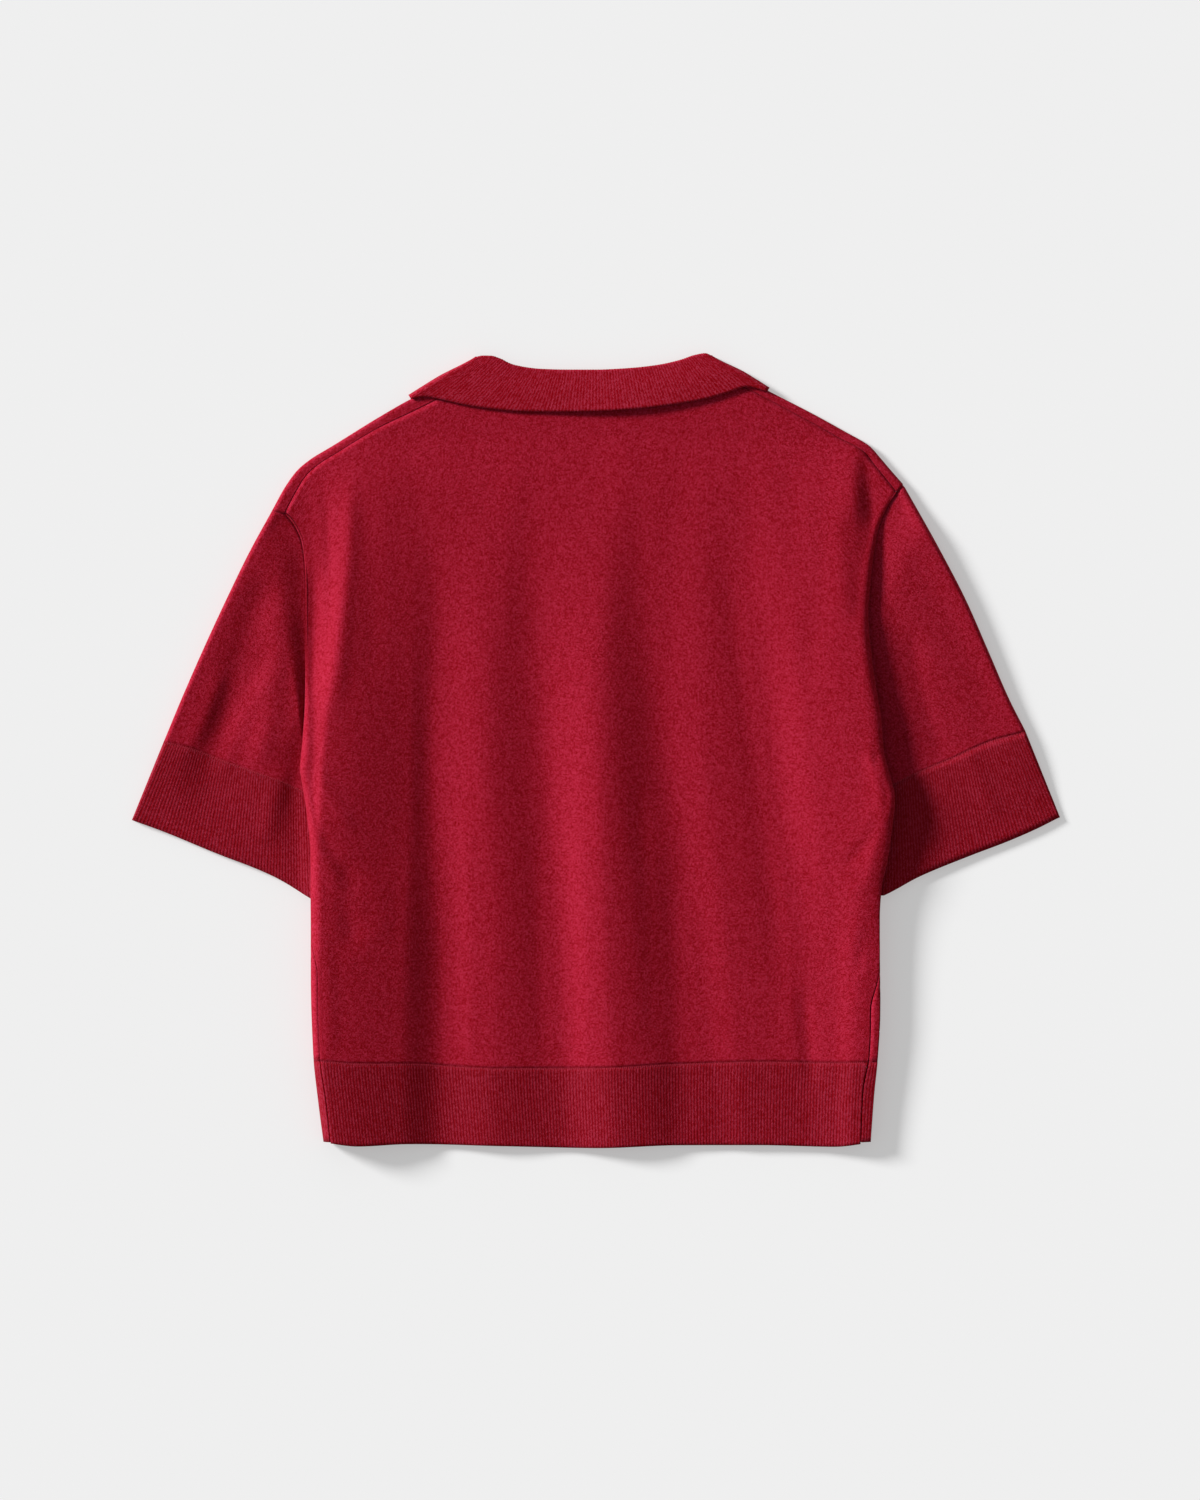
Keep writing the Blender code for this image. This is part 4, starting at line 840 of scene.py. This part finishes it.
def grid_piece(name, rows, uv, wall, material, keep=None, closed=False, offset=-1.0):
    """Grid of points (rows x columns x 3, mm) as a walled cloth piece.  uv has
    the knit's own coordinates in mm, with one more column on a closed ring."""
    n, m = rows.shape[:2]
    last = m if closed else m - 1
    j, i = np.meshgrid(np.arange(n - 1), np.arange(last), indexing="ij")
    j, i = j.ravel(), i.ravel()
    if keep is not None:
        ok = np.array([keep(a, b) for a, b in zip(j, i)])
        j, i = j[ok], i[ok]
    i2 = (i + 1) % m
    quads = np.stack([j * m + i, j * m + i2, (j + 1) * m + i2, (j + 1) * m + i], axis=1)
    used, flat = np.unique(quads.ravel(), return_inverse=True)
    mesh = bpy.data.meshes.new(name)
    mesh.vertices.add(len(used))
    mesh.vertices.foreach_set("co", (rows.reshape(-1, 3)[used] * 0.001).astype(np.float32).ravel())
    mesh.loops.add(len(flat))
    mesh.loops.foreach_set("vertex_index", flat.astype(np.int32).ravel())
    mesh.polygons.add(len(quads))
    mesh.polygons.foreach_set("loop_start", np.arange(0, len(flat), 4, dtype=np.int32))
    mesh.update(calc_edges=True)
    layer = mesh.uv_layers.new(name="knit")
    corner = np.stack([uv[j, i], uv[j, i + 1], uv[j + 1, i + 1], uv[j + 1, i]], axis=1)
    layer.uv.foreach_set("vector", corner.astype(np.float32).ravel())
    mesh.materials.append(material)
    mesh.shade_smooth()
    mesh.validate()
    obj = bpy.data.objects.new(name, mesh)
    bpy.context.scene.collection.objects.link(obj)
    if wall:
        solid = obj.modifiers.new("wall", "SOLIDIFY")
        solid.thickness = wall * 0.001
        solid.offset = offset
        solid.use_quality_normals = True
    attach(obj, "root")
    return obj


def knit_uv(rows, closed=False, u_row=None, ribs=None):
    """Knit coordinates in mm: u across the columns, v along the rows.  With
    `ribs`, u steps by one rib pitch each time that many columns have passed."""
    n, m = rows.shape[:2]
    if u_row is None:
        u_row = n // 2
    line = rows[u_row]
    if closed:
        line = np.concatenate([line, line[:1]])
    u = lengths(line) if ribs is None else np.arange(len(line)) * RIB_PITCH / ribs
    v = lengths(rows[:, m // 2])
    return np.stack(np.meshgrid(u, v, indexing="xy"), axis=2)


# ----------------------------------------------------------------- materials
def sleeve_uv(rows, side):
    """Knit coordinates of a sleeve in mm: v runs from the shoulder to the cuff."""
    edge = SLEEVE_EDGE[side]
    d = np.array([edge[-1].x - edge[0].x, edge[-1].y - edge[0].y])
    d /= np.linalg.norm(d)
    if side == "left":
        d[0] = -d[0]
    ring = np.concatenate([rows, rows[:, :1]], axis=1)
    return np.stack([ring[..., 0] * -d[1] + ring[..., 1] * d[0],
                     ring[..., 0] * d[0] + ring[..., 1] * d[1]], axis=2)


class Nodes:
    """Small helper that adds shader nodes and links them."""

    def __init__(self, name):
        self.mat = bpy.data.materials.new(name)
        self.mat.use_nodes = True
        self.tree = self.mat.node_tree
        self.bsdf = self.tree.nodes["Principled BSDF"]
        self.out = self.tree.nodes["Material Output"]

    def add(self, kind, **values):
        node = self.tree.nodes.new(kind)
        for key, value in values.items():
            setattr(node, key, value)
        return node

    def set(self, socket, value):
        if isinstance(value, bpy.types.NodeSocket):
            self.tree.links.new(value, socket)
        else:
            socket.default_value = value

    def math(self, op, a, b=0.0, c=0.0, clamp=False):
        node = self.add("ShaderNodeMath", operation=op, use_clamp=clamp)
        self.set(node.inputs[0], a)
        self.set(node.inputs[1], b)
        self.set(node.inputs[2], c)
        return node.outputs[0]

    def scaled(self, a, k, add=0.0):
        return self.math("MULTIPLY_ADD", a, k, add)

    def noise(self, vector, scale, detail=2.0, rough=0.5, normalize=True):
        node = self.add("ShaderNodeTexNoise", noise_dimensions="3D")
        node.normalize = normalize
        self.set(node.inputs["Vector"], vector)
        self.set(node.inputs["Scale"], scale)
        self.set(node.inputs["Detail"], detail)
        self.set(node.inputs["Roughness"], rough)
        return node.outputs["Fac"]

    def ramp(self, fac, low, high, to_low=0.0, to_high=1.0, smooth=True):
        node = self.add("ShaderNodeMapRange")
        node.interpolation_type = "SMOOTHSTEP" if smooth else "LINEAR"
        self.set(node.inputs["Value"], fac)
        self.set(node.inputs["From Min"], low)
        self.set(node.inputs["From Max"], high)
        self.set(node.inputs["To Min"], to_low)
        self.set(node.inputs["To Max"], to_high)
        return node.outputs["Result"]

    def mix(self, fac, a, b):
        node = self.add("ShaderNodeMix", data_type="RGBA")
        self.set(node.inputs[0], fac)
        self.set(node.inputs[6], a)
        self.set(node.inputs[7], b)
        return node.outputs[2]


def knit_material(name, rib, light=0.0, gain=1.0):
    """Fine knit.  Wales run along v and courses along u, both in mm.  `light`
    lifts the tone and `gain` scales the colour: the collar's paler copy is painted light, the sleeves' darker copy
    painted shade, and the rib's lower gain is its own darker colour."""
    n = Nodes(name)
    uv = n.add("ShaderNodeUVMap", uv_map="knit").outputs["UV"]
    place_node = n.add("ShaderNodeTexCoord")
    place = place_node.outputs["Object"]

    def elsewhere(x, y, z):
        node = n.add("ShaderNodeVectorMath", operation="ADD")
        n.set(node.inputs[0], place)
        node.inputs[1].default_value = (x, y, z)
        return node.outputs[0]

    # irregular yarn: the pattern drifts slowly and wavers from stitch to stitch
    drift = n.math("SUBTRACT", n.noise(place, 38.0, 1.0), 0.5)
    waver_u = n.math("SUBTRACT", n.noise(place, 620.0, 2.0, 0.6), 0.5)
    waver_v = n.math("SUBTRACT", n.noise(elsewhere(0.137, 0.061, 0.211), 600.0, 2.0, 0.6), 0.5)
    split = n.add("ShaderNodeSeparateXYZ")
    n.set(split.inputs[0], uv)
    u = n.math("ADD", split.outputs[0],
               n.math("ADD", n.scaled(drift, 0.5 if rib else 1.1), n.scaled(waver_u, 0.6 if rib else 0.5)))
    v = n.math("ADD", split.outputs[1], n.scaled(waver_v, 0.5))
    wale, course = (RIB_PITCH, 1.20) if rib else (1.25, 1.05)
    s = n.math("FRACT", n.scaled(u, 1.0 / wale))
    a = n.math("ABSOLUTE", n.scaled(s, 2.0, -1.0))          # 0 mid wale, 1 between wales
    if rib:
        # one raised knit wale and one sunken purl wale in each rib
        raised = n.ramp(a, 0.75, 0.25)
        leg = n.math("SINE", n.scaled(n.math("MINIMUM", n.scaled(a, 1.6), 1.0), math.pi))
    else:
        leg = n.math("SINE", n.scaled(a, math.pi))
    t = n.math("ADD", n.scaled(v, 1.0 / course), n.scaled(a, 1.15 if rib else 0.75))
    loop = n.scaled(n.math("COSINE", n.scaled(t, 2 * math.pi)), 0.5, 0.5)
    stitch = n.math("MULTIPLY", n.math("POWER", n.math("MAXIMUM", leg, 0.0), 0.6),
                    n.scaled(loop, 0.62, 0.38))
    if rib:
        stitch = n.math("MULTIPLY", stitch, n.scaled(raised, 0.6, 0.4))
    # each stitch a little lighter or darker, as in a melange yarn
    cell = n.add("ShaderNodeCombineXYZ")
    n.set(cell.inputs[0], n.math("FLOOR", n.scaled(u, (2.0 if rib else 1.0) / wale)))
    n.set(cell.inputs[1], n.math("FLOOR", t))
    white = n.add("ShaderNodeTexWhiteNoise", noise_dimensions="2D")
    n.set(white.inputs["Vector"], cell.outputs[0])
    per_stitch = n.math("SUBTRACT", white.outputs["Value"], 0.5)
    # loose fibre ends: short pale squiggles where a fine noise crosses its middle
    fuzz = n.noise(elsewhere(0.31, 0.17, 0.05), 900.0, 1.0, 0.5)
    worm = n.ramp(n.math("ABSOLUTE", n.math("SUBTRACT", fuzz, 0.5)), 0.085, 0.0)
    grain = n.math("SUBTRACT", n.noise(place, 1500.0, 2.0, 0.7), 0.5)
    cloud = n.math("SUBTRACT", n.noise(place, 26.0, 3.0, 0.6), 0.5)
    # painted light and shade: slopes that face the key lamp (from the left, turned towards the collar) are painted
    # paler, slopes turned away darker
    painted_key_side = n.add("ShaderNodeVectorMath", operation="DOT_PRODUCT")
    n.set(painted_key_side.inputs[0], place_node.outputs["Normal"])
    painted_key_side.inputs[1].default_value = (-0.88, 0.45, 0.0)
    tone = n.math("ADD", n.scaled(per_stitch, 1.05), n.scaled(grain, 4.6))
    tone = n.math("ADD", tone, n.scaled(worm, 0.35, -0.13))
    tone = n.math("ADD", tone, n.scaled(cloud, 0.10))
    # painted shade in the gaps between the loops and painted highlight on the raised loops and wales
    tone = n.math("ADD", tone, n.scaled(stitch, 1.25 if rib else 1.55, (-0.42 if rib else -0.69) + light))
    # painted light and shade by how far each slope faces the key lamp
    tone = n.math("ADD", tone, n.scaled(n.math("MAXIMUM", n.math("MINIMUM", painted_key_side.outputs["Value"], 0.4), -0.4), 0.65))
    deep, mid, pale = (((0.205, 0.0002, 0.0030), (0.268, 0.0030, 0.0130), (0.350, 0.0230, 0.0500)) if rib
                       else ((0.194, 0.0001, 0.0020), (0.296, 0.0010, 0.0110), (0.412, 0.0195, 0.0510)))
    deep, mid, pale = (tuple(gain * c for c in k) + (1.0,) for k in (deep, mid, pale))
    low = n.ramp(tone, -0.60, 0.0, 0.0, 1.0, smooth=False)
    high = n.ramp(tone, 0.0, 0.65, 0.0, 1.0, smooth=False)
    n.set(n.bsdf.inputs["Base Color"], n.mix(high, n.mix(low, deep, mid), pale))
    n.set(n.bsdf.inputs["Roughness"], n.ramp(stitch, 0.0, 1.0, 0.95, 0.74, smooth=False))
    n.bsdf.inputs["Specular IOR Level"].default_value = 0.05
    n.bsdf.inputs["Sheen Weight"].default_value = 0.05
    n.bsdf.inputs["Sheen Roughness"].default_value = 0.45
    n.bsdf.inputs["Sheen Tint"].default_value = (1.0, 0.42, 0.42, 1.0)
    # height in metres: stitches, fibre ends and grain
    high_m = n.math("ADD", n.scaled(stitch, 0.00022 if rib else 0.00015), n.scaled(grain, 0.00014))
    high_m = n.math("ADD", high_m, n.scaled(worm, 0.00012))
    bump = n.add("ShaderNodeBump")
    bump.inputs["Strength"].default_value = 0.8
    bump.inputs["Distance"].default_value = 1.0
    n.set(bump.inputs["Height"], high_m)
    n.set(n.bsdf.inputs["Normal"], bump.outputs["Normal"])
    return n.mat


def yarn_material(name):
    """The linking yarn of the seams, a little lighter than the knit."""
    n = Nodes(name)
    place = n.add("ShaderNodeTexCoord").outputs["Object"]
    twist = n.noise(place, 900.0, 2.0, 0.6)
    n.set(n.bsdf.inputs["Base Color"], n.mix(twist, (0.25, 0.004, 0.016, 1), (0.50, 0.022, 0.050, 1)))
    n.bsdf.inputs["Roughness"].default_value = 0.85
    n.bsdf.inputs["Specular IOR Level"].default_value = 0.1
    n.bsdf.inputs["Sheen Weight"].default_value = 0.1
    bump = n.add("ShaderNodeBump")
    bump.inputs["Strength"].default_value = 0.5
    bump.inputs["Distance"].default_value = 1.0
    n.set(bump.inputs["Height"], n.scaled(twist, 0.0001))
    n.set(n.bsdf.inputs["Normal"], bump.outputs["Normal"])
    return n.mat


def floor_material():
    n = Nodes("pale_floor")
    place = n.add("ShaderNodeTexCoord").outputs["Object"]
    soft = n.noise(place, 3.0, 2.0, 0.5)
    n.set(n.bsdf.inputs["Base Color"], n.mix(soft, (0.506, 0.506, 0.506, 1), (0.512, 0.512, 0.512, 1)))
    n.bsdf.inputs["Roughness"].default_value = 1.0
    n.bsdf.inputs["Specular IOR Level"].default_value = 0.0
    # the sheet is lit from below as well, which keeps its shadows light
    n.bsdf.inputs["Emission Color"].default_value = (1.0, 1.0, 1.0, 1.0)
    n.bsdf.inputs["Emission Strength"].default_value = 0.364
    return n.mat


# -------------------------------------------------------------------- pieces
plain = knit_material("plain_knit_red", False)
# painted shade: the sleeves take a darker copy of the plain knit
sleeve_plain_painted_shade = knit_material("sleeve_knit_red_painted_shade", False, 0.0, 0.94)   # wales run slantwise to the light
rib = knit_material("rib_knit_red", True, 0.0, 0.88)
# painted light: a paler, stronger copy of the rib knit for the collar, which lies up towards the lamp
collar_rib_painted_light = knit_material("collar_knit_red_painted_light", True, 0.14, 1.11)
yarn = yarn_material("linking_yarn_red")


def ribbed(rows, u, pitch, depth, closed=False, fade=None):
    """Pushes a grid out and in by its ribs: round wales with narrow valleys."""
    wave = 1 - np.abs(np.sin(math.pi * u / pitch)) ** 1.6
    lift = depth * (0.45 - wave)[None, :, None]
    if fade is not None:
        lift = lift * fade[:, None, None]
    return rows + normals(rows, closed) * lift


def linking(name, path, pitch=1.6, half=(0.42, 1.0, 0.30)):
    """Small rounded loops across a seam, one every `pitch` mm of the path; half:
    half sizes along the seam, across it and upward."""
    s = lengths(path)
    count = int(s[-1] / pitch)
    rng = np.random.default_rng(11)
    at = (np.arange(count) + 0.5 + rng.uniform(-0.14, 0.14, count)) * s[-1] / count

    def point(a):
        return np.stack([np.interp(a, s, path[:, k]) for k in range(3)], axis=1)

    ahead = point(at + 0.4) - point(at - 0.4)
    ahead /= np.linalg.norm(ahead, axis=1)[:, None]
    across = np.cross(np.array([0.0, 0.0, 1.0]), ahead)
    across /= np.linalg.norm(across, axis=1)[:, None]
    lean = rng.uniform(0.15, 0.5, count)[:, None]
    across = across + ahead * lean
    up = np.cross(ahead, across)
    around, along_n = 6, 4
    shape = [(0.0, 0.0, -1.0)]
    for i in range(1, along_n):
        b = math.pi * i / along_n
        for k in range(around):
            c = 2 * math.pi * k / around
            shape.append((math.sin(b) * math.cos(c), math.sin(b) * math.sin(c), -math.cos(b)))
    shape.append((0.0, 0.0, 1.0))
    shape = np.array(shape)
    size = rng.uniform(0.85, 1.12, count)[:, None, None]
    verts = (point(at)[:, None, :] + size * (
        shape[None, :, 0:1] * half[0] * ahead[:, None, :]
        + shape[None, :, 2:3] * half[1] * across[:, None, :]
        + shape[None, :, 1:2] * half[2] * up[:, None, :]))
    m = len(shape)
    faces = [(0, 1 + (k + 1) % around, 1 + k) for k in range(around)]
    for i in range(along_n - 2):
        a0 = 1 + i * around
        faces += [(a0 + k, a0 + (k + 1) % around, a0 + around + (k + 1) % around, a0 + around + k)
                  for k in range(around)]
    a0 = 1 + (along_n - 2) * around
    faces += [(a0 + k, a0 + (k + 1) % around, m - 1) for k in range(around)]
    mesh = bpy.data.meshes.new(name)
    mesh.from_pydata((verts.reshape(-1, 3) * 0.001).tolist(), [],
                     [tuple(i * m + f for f in face) for i in range(count) for face in faces])
    mesh.materials.append(yarn)
    mesh.shade_smooth()
    obj = bpy.data.objects.new(name, mesh)
    bpy.context.scene.collection.objects.link(obj)
    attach(obj, "root")
    return obj


pieces = {}

# back panel
rows = back_panel_surface()
hem_seam = rows[0] + np.array([0.0, -0.25, -0.05])
linking("hem_linking_yarn", hem_seam[6:-6])
pieces["back_panel"] = grid_piece("back_panel_knit", rows, knit_uv(rows, u_row=40), WALL, plain)

# front panel
rows, keep = front_panel_surface()
m = rows.shape[1]
pieces["front_panel"] = grid_piece(
    "front_panel_knit", rows[:, ::-1], knit_uv(rows[:, ::-1], u_row=20), WALL, plain,
    keep=lambda j, i: keep(j, m - 2 - i))

# hem ribs
RIB_SAMPLES = 7
rows = back_hem_surface(14)
count = int(round(lengths(rows[7])[-1] / RIB_PITCH))
rows, u = spaced(rows, count * RIB_SAMPLES + 1, 7)
pitch_b = u[-1] / count
rows = ribbed(rows, u, pitch_b, 0.10)
back_hem_rows, back_hem_u = rows, u
pieces["back_hem_rib"] = grid_piece("back_hem_rib_knit", rows, knit_uv(rows, ribs=RIB_SAMPLES), RIB_WALL, rib)

rows = front_hem_surface(9)
count_f = int(round(lengths(rows[4])[-1] / RIB_PITCH))
rows, u = spaced(rows, count_f * 6 + 1, 4)
rows = ribbed(rows[:, ::-1], u, u[-1] / count_f, 0.10)
rows[:, :, 2] = np.maximum(rows[:, :, 2], 0.0)
pieces["front_hem_rib"] = grid_piece("front_hem_rib_knit", rows, knit_uv(rows, ribs=6), RIB_WALL, rib)

# sleeves and cuffs
for side in ("left", "right"):
    rows = sleeve_surface(side, "sleeve", 64, 52, 7)
    top_side = rows[-1][6:-1][:60]
    sign = -1 if side == "left" else 1
    linking(side + "_cuff_linking_yarn", top_side + np.array([0.05 * sign, -0.15, -0.05]))
    if side == "left":
        rows = rows[:, ::-1]
    pieces[side + "_sleeve"] = grid_piece(side + "_sleeve_knit", rows, sleeve_uv(rows, side), WALL, sleeve_plain_painted_shade,
                                          closed=True)
    rows = sleeve_surface(side, "cuff", 15, 52, 10)
    if side == "left":
        rows = rows[:, ::-1]
    loop = np.concatenate([rows, rows[:, :1]], axis=1)
    count = int(round(lengths(loop[8])[-1] / RIB_PITCH))
    loop, u = spaced(loop, count * 6 + 1, 8)
    rows, u = loop[:, :-1], u
    rows = ribbed(rows, u[:-1], u[-1] / count, 0.12, closed=True)
    rows[:, :, 2] = np.maximum(rows[:, :, 2], 0.0)
    pieces[side + "_cuff"] = grid_piece(side + "_cuff_rib_knit", rows, knit_uv(rows, True, ribs=6), RIB_WALL, rib,
                                        closed=True)

# collar: a middle surface, walled to both sides
rows = collar_surface(150, 14, 70, 3, 7, 16)
rows = rows.transpose(1, 0, 2)           # neckline to free edge, left to right
mid = 3 + 7 + 8
count = int(round(lengths(rows[mid])[-1] / RIB_PITCH))
rows, u = spaced(rows, count * 5 + 1, mid)
rows = ribbed(rows, u, u[-1] / count, 0.20)
rows = rows[:, ::-1]
pieces["collar"] = grid_piece("collar_rib_knit", rows, knit_uv(rows, ribs=5), RIB_WALL, collar_rib_painted_light,
                             offset=0.0)

for node, piece in pieces.items():
    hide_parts(node)

# --------------------------------------------------------- floor, light, camera
bpy.ops.mesh.primitive_plane_add(size=30.0, location=(0, 0, -0.0002))
floor = bpy.context.object
floor.name = "floor"
floor.data.materials.append(floor_material())

world = bpy.data.worlds.new("studio")
bpy.context.scene.world = world
world.use_nodes = True
world.node_tree.nodes["Background"].inputs["Color"].default_value = (1, 1, 1, 1)
world.node_tree.nodes["Background"].inputs["Strength"].default_value = 0.314

key = bpy.data.lights.new("key", "SUN")
key.energy = 5.6
key.angle = math.radians(14)
key_object = bpy.data.objects.new("key", key)
bpy.context.scene.collection.objects.link(key_object)
KEY_FROM = math.radians(27)      # turned from the left towards the collar
KEY_UP = math.radians(22)
toward = (-math.cos(KEY_FROM) * math.cos(KEY_UP), math.sin(KEY_FROM) * math.cos(KEY_UP),
          math.sin(KEY_UP))
key_object.rotation_euler = mathutils.Vector(toward).to_track_quat("Z", "Y").to_euler()

camera = bpy.data.cameras.new("camera")
camera.sensor_fit = "VERTICAL"
camera.sensor_height = 36.0
CAMERA_UP = 12.0
camera.lens = 36.0 * CAMERA_UP / 1.2
camera.clip_end = 100.0
camera_object = bpy.data.objects.new("camera", camera)
bpy.context.scene.collection.objects.link(camera_object)
camera_object.location = (0.0032, 0.0004, CAMERA_UP)
bpy.context.scene.camera = camera_object

bpy.context.scene.view_settings.view_transform = "Standard"
bpy.context.scene.view_settings.look = "None"
